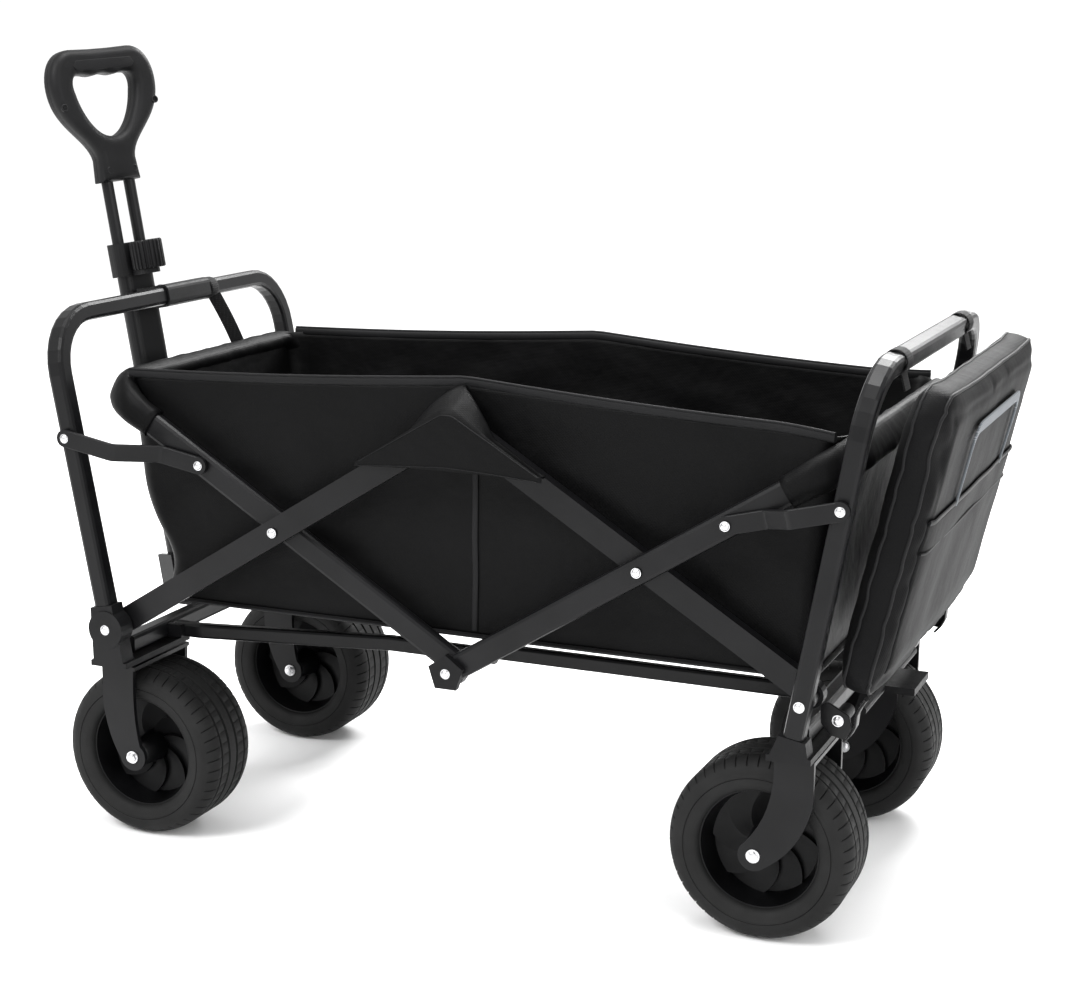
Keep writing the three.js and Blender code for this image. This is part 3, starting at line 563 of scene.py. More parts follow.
def build_rivets():
    foot_face = box("front_foot_left")[0].y
    cap_face = box("lower_joint_cap_left")[0].y
    front_tip = X_FRONT.lerp(Vector((FRONT_BAR.x, 0, FRONT_BAR.z)), FRONT_TIP_SHARE)
    rear_tip = X_REAR.lerp(Vector((REAR_BAR.x, 0, REAR_BAR.z)), REAR_TIP_SHARE)
    arm_face = -OUTER_PLANE - ARM_THICK / 2
    front_tip_face = -INNER_PLANE - ARM_THICK / 2 - LINK_STAND
    rear_tip_face = arm_face - LINK_STAND
    spots = [
        ("foot_rivet", P_FRONT, foot_face, "rising_arms", 4.4),
        ("rear_pivot_rivet", P_REAR, -HOOP_HALF, "falling_arms", 4.4),
        ("front_cross_rivet", X_FRONT, arm_face, "rising_arms", 4.2),
        ("rear_cross_rivet", X_REAR, arm_face, "rear_u", 4.2),
        ("top_rivet", TOP, arm_face, "rising_arms", 4.2),
        ("low_rivet", LOW, cap_face, "rear_u", 4.2),
        ("front_link_root_rivet", LINK_FRONT, LINK_FACE, "front_links", 4.0),
        ("rear_link_root_rivet", LINK_REAR, LINK_FACE, "rear_links", 4.0),
        ("front_link_tip_rivet", front_tip, front_tip_face, "front_links", 4.0),
        ("rear_link_tip_rivet", rear_tip, rear_tip_face, "rear_links", 4.0),
    ]
    for word, side in SIDES:
        for name, at, face, body, radius in spots:
            rivet(f"{name}_{word}", at, -side * face, side, body, radius)


# ---------- handle ----------

HANDLE_UP = Vector(joints["handle_extend"]["axis"])
HANDLE_SIDE = -Vector(joints["handle_tilt"]["axis"])
HANDLE_FACE = HANDLE_SIDE.cross(HANDLE_UP)
HANDLE_FOOT = joint_at("handle_swing")


def on_handle(face, side, up):
    """A point in the handle's own axes, in mm from its foot."""
    return HANDLE_FOOT + (HANDLE_FACE * face + HANDLE_SIDE * side + HANDLE_UP * up) * mm


def bezier(a, b, c, d, steps=8):
    points = []
    for k in range(steps):
        t = k / steps
        s = 1 - t
        points.append(tuple(s ** 3 * a[i] + 3 * s * s * t * b[i] + 3 * s * t * t * c[i] + t ** 3 * d[i]
                            for i in range(2)))
    return points


GRIP_BASE, GRIP_TALL, GRIP_HALF, GRIP_NECK = 455, 146, 66, 25


def grip_outline():
    top = GRIP_TALL
    waist, widest = 0.17 * top, 0.64 * top
    right = [(GRIP_NECK, 0)]
    right += bezier((GRIP_NECK - 2, waist), (GRIP_NECK, waist + 22), (GRIP_HALF - 8, widest - 32),
                    (GRIP_HALF - 2, widest), 14)
    right += bezier((GRIP_HALF - 2, widest), (GRIP_HALF + 3, widest + 26), (GRIP_HALF - 7, top),
                    (GRIP_HALF * 0.55, top), 14)
    right += [(GRIP_HALF * 0.55, top), (12, top - 0.8)]
    return right + [(-y, z) for y, z in reversed(right)]


def grip_hole():
    top, bar = GRIP_TALL, 28
    side, low, high = GRIP_HALF - bar, 0.34 * top, top - bar
    right = bezier((0, low), (side / 2, low), (side - 5, low + 26), (side - 1, high - 20), 14)
    right += bezier((side - 1, high - 20), (side + 2, high - 10), (side, high), (side - 8, high), 8)
    waves = [(y, high - 1.9 * (1 - math.cos(2 * math.pi * y / 26)) / 2) for y in range(28, -1, -2)]
    right += waves
    return right + [(-y, z) for y, z in reversed(right) if y > 0]


def curve_plate(name, loops, thick, edge, steps=4):
    """A plate with rounded edges from closed outlines [(u, v)], flat in the curve's own XY, in metres."""
    curve = bpy.data.curves.new(name, "CURVE")
    curve.dimensions = "2D"
    curve.fill_mode = "BOTH"
    curve.extrude = thick / 2 - edge
    curve.bevel_depth = edge
    curve.bevel_resolution = steps
    curve.offset = -edge
    for loop in loops:
        spline = curve.splines.new("POLY")
        spline.points.add(len(loop) - 1)
        for point, (u, v) in zip(spline.points, loop):
            point.co = (u, v, 0, 1)
        spline.use_cyclic_u = True
    holder = bpy.data.objects.new(name + "_outline", curve)
    bpy.context.scene.collection.objects.link(holder)
    bpy.context.view_layer.update()
    mesh = bpy.data.meshes.new_from_object(holder.evaluated_get(bpy.context.evaluated_depsgraph_get()))
    bpy.data.objects.remove(holder)
    return mesh


def placed(mesh, origin, u, v):
    """Puts a flat mesh in space: its X along u, its Y along v, its Z along u x v."""
    w = Vector(u).cross(Vector(v))
    rows = [(u[i], v[i], w[i], origin[i]) for i in range(3)]
    mesh.transform(Matrix((*rows, (0, 0, 0, 1))))
    return mesh


def half_of(mesh, origin, normal, name):
    """The half of a closed mesh on the side that the normal points to, closed at the cut."""
    build = bmesh.new()
    build.from_mesh(mesh)
    bmesh.ops.remove_doubles(build, verts=build.verts, dist=1e-6)
    cut = bmesh.ops.bisect_plane(build, geom=build.verts[:] + build.edges[:] + build.faces[:],
                                 plane_co=origin, plane_no=normal, clear_inner=True)
    edges = [e for e in cut["geom_cut"] if isinstance(e, bmesh.types.BMEdge)]
    bmesh.ops.triangle_fill(build, edges=edges, use_beauty=True)
    made = bpy.data.meshes.new(name)
    build.to_mesh(made)
    build.free()
    return made


def build_grip():
    scale = [[(u * mm, v * mm) for u, v in loop] for loop in (grip_outline(), grip_hole())]
    whole = curve_plate("grip", scale, 28 * mm, 9.5 * mm, 6)
    origin = on_handle(0, 0, GRIP_BASE)
    placed(whole, origin, HANDLE_SIDE, HANDLE_UP)
    for name, node, way in (("grip_face_shell", "grip_front_shell", 1),
                            ("grip_back_shell", "grip_rear_shell", -1)):
        normal = HANDLE_FACE * way
        mesh = half_of(whole, origin + normal * 0.25 * mm, normal, name)
        shell = bpy.data.objects.new(name, mesh)
        dress(shell, PLASTIC, "handle_rods", 60)
        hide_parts(node)
    screws = [(-44, 128), (44, 128), (-57, 84), (57, 84), (-15, 12), (15, 12)]
    for k, (side, up) in enumerate(screws):
        centre = on_handle(13.6, side, GRIP_BASE + up)
        profile = [(0, -1.2 * mm), (2.2 * mm, -1.2 * mm), (2.6 * mm, 0.2 * mm), (3.6 * mm, 0.5 * mm),
                   (4.2 * mm, 0.1 * mm), (4.2 * mm, -1.5 * mm), (0, -2 * mm)]
        piece(f"grip_screw_{k}", turned(profile, centre, HANDLE_FACE, 20), PLASTIC, "handle_rods", 50)
    panel = [(-34, 122), (34, 122), (38, 127), (34, 133), (-34, 133), (-38, 127)]
    mesh = curve_plate("grip_panel", [[(u * mm, v * mm) for u, v in panel]], 1.2 * mm, 0.5 * mm, 2)
    placed(mesh, on_handle(14.0, 0, GRIP_BASE), HANDLE_SIDE, HANDLE_UP)
    dress(bpy.data.objects.new("grip_panel", mesh), PLASTIC, "handle_rods", 40)


def build_knob():
    """The ribbed drum that clamps the rods."""
    centre = joint_at("knob_turn")
    spread = [(v.co - centre) for v in frame["nodes"]["lock_knob"].data.vertices]
    heights = [d.dot(HANDLE_UP) for d in spread]
    radius = max((d - HANDLE_UP * d.dot(HANDLE_UP)).length for d in spread)
    z0, z1 = min(heights), max(heights)
    ribs = 22
    steps = ribs * 6
    levels = [(z0, 0.93), (z0 + 0.8 * mm, 0.985), (z0 + 2 * mm, 1.0), (z1 - 2.4 * mm, 1.0),
              (z1 - 0.9 * mm, 0.975), (z1, 0.9)]
    rings = [[centre + HANDLE_UP * z0] * steps]
    for z, share in levels:
        ring = []
        for k in range(steps):
            angle = 2 * math.pi * k / steps
            deep = 0 if (k % 6) < 3 else 1.7 * mm
            r = radius * share - deep
            ring.append(centre + HANDLE_UP * z + HANDLE_FACE * r * math.cos(angle)
                        + HANDLE_SIDE * r * math.sin(angle))
        rings.append(ring)
    rings.append([centre + HANDLE_UP * (z1 - 0.2 * mm) + (p - centre - HANDLE_UP * z1) * 0.72
                  for p in rings[-1]])
    rings.append([centre + HANDLE_UP * (z1 - 1.2 * mm)] * steps)
    knob = piece("ribbed_lock_knob", loft(rings), PLASTIC, "knob", 30)
    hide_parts("lock_knob")


# ---------- bag ----------


def rim_height(x):
    """The side wall's top edge: highest over the top pivot, with a slight sag towards each end."""
    if x < MID_X:
        t = (MID_X - x) / (MID_X - FRONT_BAR.x)
        end = RIM_END_Z
    else:
        t = (x - MID_X) / (REAR_BAR.x - MID_X)
        end = REAR_BAR.z + 15 * mm
    t = min(1.0, max(0.0, t))
    return RIM_TOP_Z + (end - RIM_TOP_Z) * t - 3 * mm * math.sin(math.pi * t)


def bag_front_x(t):
    """The front wall's place at share t of the height: in at the waist, out at the bottom corner."""
    low, high = FRONT_BAR.x + 32 * mm, FRONT_BAR.x + 8 * mm
    pinch = 34 * mm * math.exp(-((t - 0.2) / 0.2) ** 2)
    return low + (high - low) * t ** 0.8 + pinch * (1 - t)


def bag_rear_x(t):
    low, high = REAR_BAR.x - 34 * mm, REAR_BAR.x - 8 * mm
    return low + (high - low) * t - 8 * mm * math.sin(math.pi * t)


def corner_flare(x, t):
    """The rear U arm is on the outer plane, so the walls' rear corners reach out to it at the rim."""
    reach = OUTER_PLANE - ARM_THICK / 2 - 3 * mm - BAG_HALF
    along = max(0.0, 1 - (REAR_BAR.x - 8 * mm - x) / (70 * mm))
    return max(0.0, reach) * min(1.0, along) ** 1.5 * max(0.0, (t - 0.6) / 0.4)


def bag_ring(t, inset=0.0):
    """One level of the bag: a rectangle with round corners. t is 0 at the floor and 1 at the rim."""
    x0, x1 = bag_front_x(t) + inset, bag_rear_x(t) - inset
    half = BAG_HALF + 1.5 * mm - inset - 5 * mm * math.sin(math.pi * min(1, t * 1.15)) * 0.5
    radius = 16 * mm + 8 * mm * t
    long_steps, short_steps, corner_steps = 96, 44, 7
    ring = []

    def run(a, b, steps):
        ring.extend((a[0] + (b[0] - a[0]) * k / steps, a[1] + (b[1] - a[1]) * k / steps)
                    for k in range(steps))

    def corner(cx, cy, start):
        for k in range(corner_steps):
            angle = start + math.pi / 2 * k / corner_steps
            ring.append((cx + radius * math.cos(angle), cy + radius * math.sin(angle)))

    run((x0 + radius, -half), (x1 - radius, -half), long_steps)
    corner(x1 - radius, -half + radius, -math.pi / 2)
    run((x1, -half + radius), (x1, half - radius), short_steps)
    corner(x1 - radius, half - radius, 0)
    run((x1 - radius, half), (x0 + radius, half), long_steps)
    corner(x0 + radius, half - radius, math.pi / 2)
    run((x0, half - radius), (x0, -half + radius), short_steps)
    corner(x0 + radius, -half + radius, math.pi)
    points = []
    for x, y in ring:
        top = rim_height(x)
        if abs(y) < half - radius * 0.9:
            end_bar = FRONT_BAR if x < MID_X else REAR_BAR
            if abs(x - end_bar.x) < 60 * mm:
                top = end_bar.z + 8 * mm
        out = corner_flare(x, t) * min(1.0, abs(y) / half) ** 4
        points.append(Vector((x, y + math.copysign(out, y), FLOOR_Z + (top - FLOOR_Z) * t)))
    return points


def drape(at, t):
    """How far the cloth stands off its even surface: diagonal pulls from the pivots, and soft buckles."""
    x, z = at.x - MID_X, at.z
    pull = 0.0
    for centre, slope in ((X_FRONT, 0.62), (X_REAR, -0.62), (TOP, 0.0)):
        dx, dz = at.x - centre.x, at.z - centre.z
        away = math.hypot(dx, dz)
        across = dz - slope * dx
        pull += math.exp(-(away / 0.16) ** 2) * math.sin(across * 95 + away * 20) * 1.0
    low_buckle = ripple((x * 1.0, at.y * 0.6, z * 0.55), 0.055, 3.1) * 2.6
    broad = ripple((x, at.y, z), 0.16, 9.7) * 3.2
    fade = math.sin(math.pi * min(1.0, max(0.02, t)) ** 0.8)
    return (pull + low_buckle + broad) * mm * (0.25 + 0.75 * fade)


def build_bag():
    levels = 34
    rings = []
    for i in range(levels + 1):
        t = 1 - i / levels
        ring = bag_ring(t)
        moved = []
        for p in ring:
            inward = Vector((0, -math.copysign(1, p.y), 0))
            if abs(p.x - MID_X) > 0.3 and abs(p.y) < BAG_HALF - 20 * mm:
                inward = Vector((math.copysign(1, MID_X - p.x), 0, 0))
            off = drape(p, t)
            moved.append(p + inward * (2.5 * mm + off))
        rings.append(moved)
    shell = cloth("bag_walls", loft(rings), BAG, "bag", 1.6 * mm, -1)
    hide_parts("bag_side_left", "bag_side_right", "bag_front_wall", "bag_rear_wall")
    fold_away(shell)
    build_floor()
    build_binding()


def fold_away(obj):
    """Gives the piece its own copy of its mesh."""
    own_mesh(obj)
    return obj


def build_floor():
    """The stiffened floor: four quilted boards with sewn folds between them."""
    low = box("bag_floor")[0]
    x0, x1 = bag_front_x(0.02) - 1 * mm, bag_rear_x(0.02) + 1 * mm
    half = BAG_HALF + 0.5 * mm
    columns, rows = 96, 40
    seams = [0.25, 0.5, 0.75]

    def height(s, r):
        edge = min(s, 1 - s, r, 1 - r)
        crown = 1 - math.exp(-edge * 40)
        gap = min(abs(s - seam) for seam in seams)
        return 6.5 * mm * crown * (1 - 0.8 * math.exp(-(gap / 0.008) ** 2))

    top, bottom = [], []
    for j in range(rows + 1):
        r = j / rows
        line, under = [], []
        for i in range(columns + 1):
            s = i / columns
            x, y = x0 + (x1 - x0) * s, -half + 2 * half * r
            lift = height(s, r) + ripple((x, y, 0), 0.12, 5.0) * 0.8 * mm
            line.append(Vector((x, y, low.z + 1.5 * mm + lift)))
            sag = 2.5 * mm * math.sin(math.pi * s) * math.sin(math.pi * r)
            under.append(Vector((x, y, low.z + 0.2 * mm - sag)))
        top.append(line)
        bottom.append(under)
    verts, faces = loft(top, closed_ring=False)
    offset = len(verts)
    low_verts, low_faces = loft(bottom, closed_ring=False)
    faces += [tuple(reversed([i + offset for i in f])) for f in low_faces]
    verts += low_verts
    width = columns + 1
    border = ([j * width for j in range(rows + 1)], [j * width + columns for j in range(rows + 1)],
              list(range(width)), [rows * width + i for i in range(width)])
    for line in border:
        faces += [(a, b, b + offset, a + offset) for a, b in zip(line, line[1:])]
    floor = piece("bag_floor_boards", (verts, faces), BAG, "bag", 60)
    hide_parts("bag_floor")
    fold_away(floor)


def build_binding():
    """Tape folded over the side walls' top edges, the seams down the walls, and the hem round the floor."""
    for word, side in SIDES:
        xs = [FRONT_BAR.x + 15 * mm + (REAR_BAR.x - FRONT_BAR.x - 30 * mm) * k / 60 for k in range(61)]
        rim = [Vector((x, side * (BAG_HALF - 1.6 * mm + corner_flare(x, 1)), rim_height(x) + 0.4 * mm))
               for x in xs]
        shape = swept(rim, oval(4.2 * mm, 8 * mm, 14, 0.75), (0, 1, 0))
        tape = piece(f"rim_tape_{word}", shape, BINDING, "bag", 60)
        fold_away(tape)
        cord = [p + Vector((0, side * 1.0 * mm, 4.6 * mm)) for p in rim]
        shape = swept(cord, oval(2.6 * mm, 2.6 * mm, 10), (0, 1, 0))
        fold_away(piece(f"rim_piping_{word}", shape, BINDING, "bag", 60))
        seam = []
        for k in range(25):
            t = 0.03 + 0.86 * k / 24
            x = MID_X + 10 * mm
            half = BAG_HALF + 1.5 * mm - 2.5 * mm * math.sin(math.pi * min(1, t * 1.15))
            z = FLOOR_Z + (rim_height(x) - FLOOR_Z) * t
            at = Vector((x, side * half, z))
            seam.append(at - Vector((0, side * (1.2 * mm + drape(at, t)), 0)))
        shape = swept(seam, oval(6 * mm, 2.0 * mm, 10, 0.7), (1, 0, 0))
        fold_away(piece(f"side_seam_{word}", shape, BINDING, "bag", 60))
    hem = [p + Vector((0, 0, 3 * mm)) for p in bag_ring(0.0, 0.5 * mm)]
    shape = swept(hem, oval(3.2 * mm, 9 * mm, 10, 0.75), (0, 0, 1), closed=True)
    fold_away(piece("floor_hem", shape, BINDING, "bag", 60))


# ---------- sleeves on the U arms' end bars ----------


def build_sleeve(name, node, body, bar, cross, plane, run):
    """Cloth wrapped round the end bar and its two bends, gathered a little."""
    heading = Vector((bar.x - cross.x, 0, bar.z - cross.z)).normalized()
    across = Vector((-heading.z, 0, heading.x))
    if across.z < 0:
        across = -across
    corner_l = Vector((bar.x, -plane, bar.z))
    corner_r = Vector((bar.x, plane, bar.z))
    path = rounded([corner_l - heading * run, corner_l, corner_r, corner_r - heading * run], 42 * mm, 10)
    path = dense(path, 7 * mm)
    rings = []
    count = 26
    for i, at in enumerate(path):
        before, after = path[max(0, i - 1)], path[min(len(path) - 1, i + 1)]
        way = (after - before).normalized()
        side = way.cross(across).normalized()
        ends = min(i, len(path) - 1 - i)
        ring = []
        for k in range(count):
            angle = 2 * math.pi * k / count
            c, s = math.cos(angle), math.sin(angle)
            bend = 1 - min(1.0, ends / 6)
            a = math.copysign(abs(c) ** 0.75, c) * (ARM_THICK / 2 + (5.0 - 2.6 * bend) * mm)
            b = math.copysign(abs(s) ** 0.75, s) * (ARM_DEEP / 2 + (4.5 - 2.6 * bend) * mm)
            spot = at + side * a + across * b
            fold = 1.1 * mm * (ripple(spot, 0.018, 2.0) + 0.6 * ripple(spot, 0.045, 4.0))
            fold += 0.7 * mm if ends < 1 else 0
            ring.append(at + side * (a + math.copysign(fold, a)) + across * (b + math.copysign(fold, b)))
        rings.append(ring)
    sleeve = cloth(name, loft(rings), BAG, body, 1.0 * mm, -1)
    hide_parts(node)


# ---------- flaps over the top pivots ----------


def build_flap(word, side):
    """The triangular flap over the top pivot: out from the rim, over both arms and down to a straight hem."""
    outside = OUTER_PLANE + ARM_THICK / 2 + 2.4 * mm
    inside = BAG_HALF + 0.5 * mm
    slope = (TOP.z - X_FRONT.z) / (TOP.x - X_FRONT.x)
    crest = TOP.z + ARM_DEEP / 2 / math.cos(math.atan(slope)) + 2 * mm
    hem = TOP.z - 43 * mm
    reach = (crest - hem) / slope
    columns, tuck_rows, face_rows = 48, 8, 18
    lines = []
    for j in range(columns + 1):
        s = -1 + 2 * j / columns
        x = TOP.x + reach * s * 1.02
        ridge = max(hem + 5 * mm, crest - slope * max(0.0, abs(x - TOP.x) - 6 * mm))
        near_rim = max(0.0, 1 - abs(s) / 0.45)
        root_y = inside + (outside - inside) * 0.72 * (1 - near_rim) ** 0.6
        root_z = ridge + (rim_height(x) - 1.5 * mm - ridge) * near_rim
        line = []
        for i in range(tuck_rows):
            t = i / tuck_rows
            y = root_y + (outside - 1.5 * mm - root_y) * t
            z = root_z + (ridge - root_z) * t ** 1.5 - 1.2 * mm * math.sin(math.pi * t)
            line.append(Vector((x, side * y, z)))
        for i in range(face_rows + 1):
            t = i / face_rows
            z = ridge + (hem + 3 * mm * (1 - s * s) - ridge) * t
            y = outside + 0.8 * mm * ripple((x, 0, z), 0.03, 6.0 + side)
            y -= 1.5 * mm * (1 - min(1.0, t * 6)) ** 2
            line.append(Vector((x, side * y, z)))
        lines.append(line)
    flap = cloth(f"top_flap_{word}", loft(lines, closed_ring=False), BAG, "bag", 1.3 * mm, 0)
    fold_away(flap)
    for name, row in ((f"flap_hem_{word}", -2), (f"flap_ridge_{word}", tuck_rows + 1)):
        line = [entry[row] + Vector((0, side * 0.9 * mm, 0)) for entry in lines[1:-1]]
        fold_away(piece(name, swept(line, oval(1.1 * mm, 0.8 * mm, 6), (0, 1, 0)), BINDING, "bag", 60))


# ---------- cover pad ----------


def pad_axes():
    """The cover's middle, its two leaning directions and its half sizes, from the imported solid."""
    low, high = box("cover_pad")
    mesh = frame["nodes"]["cover_pad"].data
    out = max(mesh.polygons, key=lambda face: face.area).normal.copy()
    if out.x < 0:
        out = -out
    up = Vector((-out.z, 0, out.x))
    corners = [v.co for v in mesh.vertices]
    centre = (low + high) / 2
    half_up = max((c - centre).dot(up) for c in corners)
    half_out = max((c - centre).dot(out) for c in corners)
    return centre, up, out, half_up, half_out, high.y


def build_pad():
    """The folded cover: a stuffed slab, swelled by a short cloth simulation, with welts and a pocket."""
    centre, up, out, half_up, half_out, half_wide = pad_axes()
    rings = []
    slices = 18
    for i in range(slices + 1):
        share = -1 + 2 * i / slices
        depth = share * (half_out - 7 * mm)
        shrink = 3 * mm + 5 * mm * abs(share) ** 4
        ring = []
        radius = 30 * mm
        w, h = half_wide - shrink - radius, half_up - shrink - radius
        for cx, cz, start in ((w, h, 0), (-w, h, math.pi / 2), (-w, -h, math.pi), (w, -h, math.pi * 1.5)):
            for k in range(9):
                angle = start + math.pi / 2 * k / 8
                y, z = cx + radius * math.cos(angle), cz + radius * math.sin(angle)
                ring.append(centre + out * depth + Vector((0, y, 0)) + up * z)
        rings.append(ring)
    pad = piece("stowed_cover", loft(rings, capped=True), PAD, None, 180)
    modify(pad, "REMESH", mode="VOXEL", voxel_size=7 * mm, use_smooth_shade=True)
    applied(pad)
    swell(pad)
    modify(pad, "SUBSURF", levels=1, render_levels=1)
    applied(pad)
    crease_pad(pad, centre, out, up, half_out, half_up, half_wide)
    dress(pad, PAD, "rear_frame", 180)
    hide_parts("cover_pad")
    build_pad_trim(pad, centre, up, out, half_up, half_out, half_wide)


def swell(pad):
    """Inflates the slab as cloth, and stops each point a little way from where it began."""
    rest = [v.co.copy() for v in pad.data.vertices]
    cloth = pad.modifiers.new("cloth", "CLOTH")
    cloth.settings.use_pressure = True
    cloth.settings.uniform_pressure_force = 3.0
    cloth.settings.tension_stiffness = 25
    cloth.settings.quality = 5
    cloth.settings.effector_weights.gravity = 0
    scene = bpy.context.scene
    scene.frame_start, scene.frame_end = 1, 14
    for number in range(1, 15):
        scene.frame_set(number)
    applied(pad)
    for v, was in zip(pad.data.vertices, rest):
        moved = v.co - was
        limit = 7 * mm
        if moved.length > limit:
            v.co = was + moved.normalized() * limit
    scene.frame_set(1)


def crease_pad(pad, centre, out, up, half_out, half_up, half_wide):
    """Sewn lines, a dip under the pocket edge and soft wrinkles."""
    for v in pad.data.vertices:
        d = v.co - centre
        y, z, face = d.y, d.dot(up), d.dot(out)
        if face < 0:
            continue
        weight = min(1.0, face / (half_out * 0.6))
        wave = ripple((y, z, 0), 0.09, 1.5) * 1.6 + ripple((y * 0.6, z, 0), 0.035, 7.0) * 0.7
        v.co = v.co + out * (wave * mm * weight)
        edge = max(abs(y) - half_wide, abs(z) - half_up)
        if -34 * mm < edge < -20 * mm:
            v.co = v.co - out * (1.5 * mm * weight * (1 - abs(edge + 27 * mm) / (7 * mm)))


def ring_path(y_half, z_low, z_high, radius, at):
    corners = ((y_half - radius, z_high - radius, 0), (-y_half + radius, z_high - radius, math.pi / 2),
               (-y_half + radius, z_low + radius, math.pi), (y_half - radius, z_low + radius, math.pi * 1.5))
    points = []
    for cy, cz, start in corners:
        for k in range(9):
            angle = start + math.pi / 2 * k / 8
            points.append(at(cy + radius * math.cos(angle), cz + radius * math.sin(angle)))
    return points


def build_pad_trim(pad, centre, up, out, half_up, half_out, half_wide):
    """Welts round both faces, the pocket with its sewn edges, and the grey carrying handle."""
    skin = BVHTree.FromPolygons([v.co for v in pad.data.vertices],
                                [tuple(f.vertices) for f in pad.data.polygons])

    def on_face(y, z, stand=0.0):
        from_far = centre + out * 0.2 + Vector((0, y, 0)) + up * z
        hit = skin.ray_cast(from_far, -out)[0]
        return (hit or centre + out * half_out + Vector((0, y, 0)) + up * z) + out * stand

    inset = 2.6 * mm
    for name, depth in (("pad_welt_outer", 0.7), ("pad_welt_inner", -0.7)):
        path = ring_path(half_wide - inset, -half_up + inset, half_up - inset, 27 * mm,
                         lambda y, z, d=depth: centre + out * (half_out * d) + Vector((0, y, 0)) + up * z)
        path = [skin.find_nearest(p)[0] for p in dense(path + [path[0]], 9 * mm)[:-1]]
        piece(name, swept(path, oval(3.2 * mm, 3.2 * mm, 10), out, closed=True), BINDING, "rear_frame", 60)
    pocket_top = (box("cover_strap")[0].z + 3 * mm - centre.z) / up.z
    pocket_bottom = -half_up + 34 * mm
    wide = half_wide - 24 * mm
    rings = []
    rows, columns = 30, 60
    for i in range(rows + 1):
        z = pocket_top + (pocket_bottom - pocket_top) * i / rows
        ring = []
        for j in range(columns + 1):
            s = -1 + 2 * j / columns
            edge = min(1.0, (1 - abs(s)) * 8, (rows - i) / rows * 8)
            stand = -0.5 + 2.2 * edge + ripple((s * wide, z, 0), 0.07, 3.3) * 1.4 * edge
            ring.append(on_face(s * wide, z, stand * mm))
        rings.append(ring)
    pocket = cloth("cover_pocket", loft(rings, closed_ring=False), PAD, "rear_frame", 1.6 * mm, 0)
    for name, drop, size in (("pocket_hem", 0.0, 5.0), ("pocket_seam", 30.0, 2.2)):
        line = [on_face(-wide + 2 * wide * k / 40, pocket_top - drop * mm, 2.2 * mm) for k in range(41)]
        piece(name, swept(line, oval(size * mm, 2.0 * mm, 10, 0.8), up), BINDING, "rear_frame", 60)
    build_carry_strap(on_face, up, out)


def build_carry_strap(on_face, up, out):
    """The grey webbing handle that loops out of the pocket: a flat band across the top, thin legs down."""
    low, high = box("cover_strap")
    centre_z = middle("cover_pad").z
    y0, y1 = low.y, high.y
    z0, z1 = (low.z - centre_z) / up.z, (high.z - centre_z) / up.z
    corners = [on_face(y0, z0, 2.2 * mm), on_face(y0, z1, 3.4 * mm), on_face(y1, z1, 3.4 * mm),
               on_face(y1, z0, 2.2 * mm)]
    path = dense(rounded(corners, 15 * mm, 8), 6 * mm)
    rings = []
    for i, at in enumerate(path):
        along = (path[min(i + 1, len(path) - 1)] - path[max(i - 1, 0)]).normalized()
        across = along.cross(out).normalized()
        level = abs(along.y)
        wide = (3.2 + 8.5 * level ** 2) * mm
        ring = [at - across * (wide / 2) + across * a * wide / 2 + out * b * 1.3 * mm
                for a, b in oval(2, 2, 14, 0.5)]
        rings.append(ring)
    strap = piece("carry_strap", loft(rings, capped=True), GREY_WEB, "rear_frame", 60)
    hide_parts("cover_strap")


# ---------- straps ----------

LOOP_Y = 140 * mm


def band(name, path, wide, thick, flat, made, body):
    return piece(name, swept(path, oval(wide, thick, 14, 0.45), flat), made, body, 60)


def build_tie_strap():
    """The strap from the front top bar down to the bag's rim."""
    y = box("handle_clip")[1].y + 10 * mm
    hoop_low, hoop_high = box("front_hoop")
    bar = Vector((hoop_low.x + TUBE / 2 + 1.8 * mm, y, hoop_high.z - TUBE / 2 - 1.2 * mm))
    r = TUBE / 2 + 1.4 * mm
    loop = [bar + Vector((r * 1.05 * math.cos(a), 0, r * 1.05 * math.sin(a)))
            for a in [math.pi * 2 * k / 24 for k in range(24)]]
    shape = swept(loop, oval(15 * mm, 1.8 * mm, 12, 0.5), (0, 1, 0), closed=True)
    piece("tie_loop", shape, BLACK_WEB, "front_frame", 60)
    rim = Vector((FRONT_BAR.x - 12 * mm, y + 22 * mm, FRONT_BAR.z + 2 * mm))
    start = bar + Vector((r * 0.9, 0, -r * 0.7))
    path = [start.lerp(rim, k / 14) + Vector((1.5 * mm * math.sin(math.pi * k / 14), 0, 0))
            for k in range(15)]
    strap = band("tie_strap", path, 15 * mm, 1.8 * mm, (0.75, 0.66, 0), BLACK_WEB, "front_frame")
    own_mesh(strap)


def build_pad_loops():
    """Two straps with round snaps that tie the cover to the rear hoop's top bar."""
    hoop_high = box("rear_hoop")[1]
    for word, side in SIDES:
        bar = Vector((hoop_high.x - TUBE / 2, side * LOOP_Y, hoop_high.z - TUBE / 2))
        r = TUBE / 2 + 1.6 * mm
        path = [bar + Vector((r * math.cos(a), 0, r * math.sin(a))) for a in
                [math.radians(-60 + 250 * k / 16) for k in range(17)]]
        end = bar + Vector((10 * mm, 0, -26 * mm))
        path = [end, end.lerp(path[0], 0.5)] + path
        band(f"cover_loop_{word}", path, 22 * mm, 1.8 * mm, (0, 1, 0), BLACK_WEB, "rear_frame")
        profile = [(0, 1.8 * mm), (4 * mm, 1.6 * mm), (6.2 * mm, 0.8 * mm), (6.6 * mm, 0), (0, -0.2 * mm)]
        shape = turned(profile, bar + Vector((-r - 0.8 * mm, 0, -1 * mm)), (-1, 0, 0), 24)
        piece(f"cover_snap_{word}", shape, PLASTIC, "rear_frame", 50)


# ---------- brake ----------

BRACKET_Y, BOLT_Y, SPACER_Y = 203 * mm, 204.8 * mm, 168 * mm


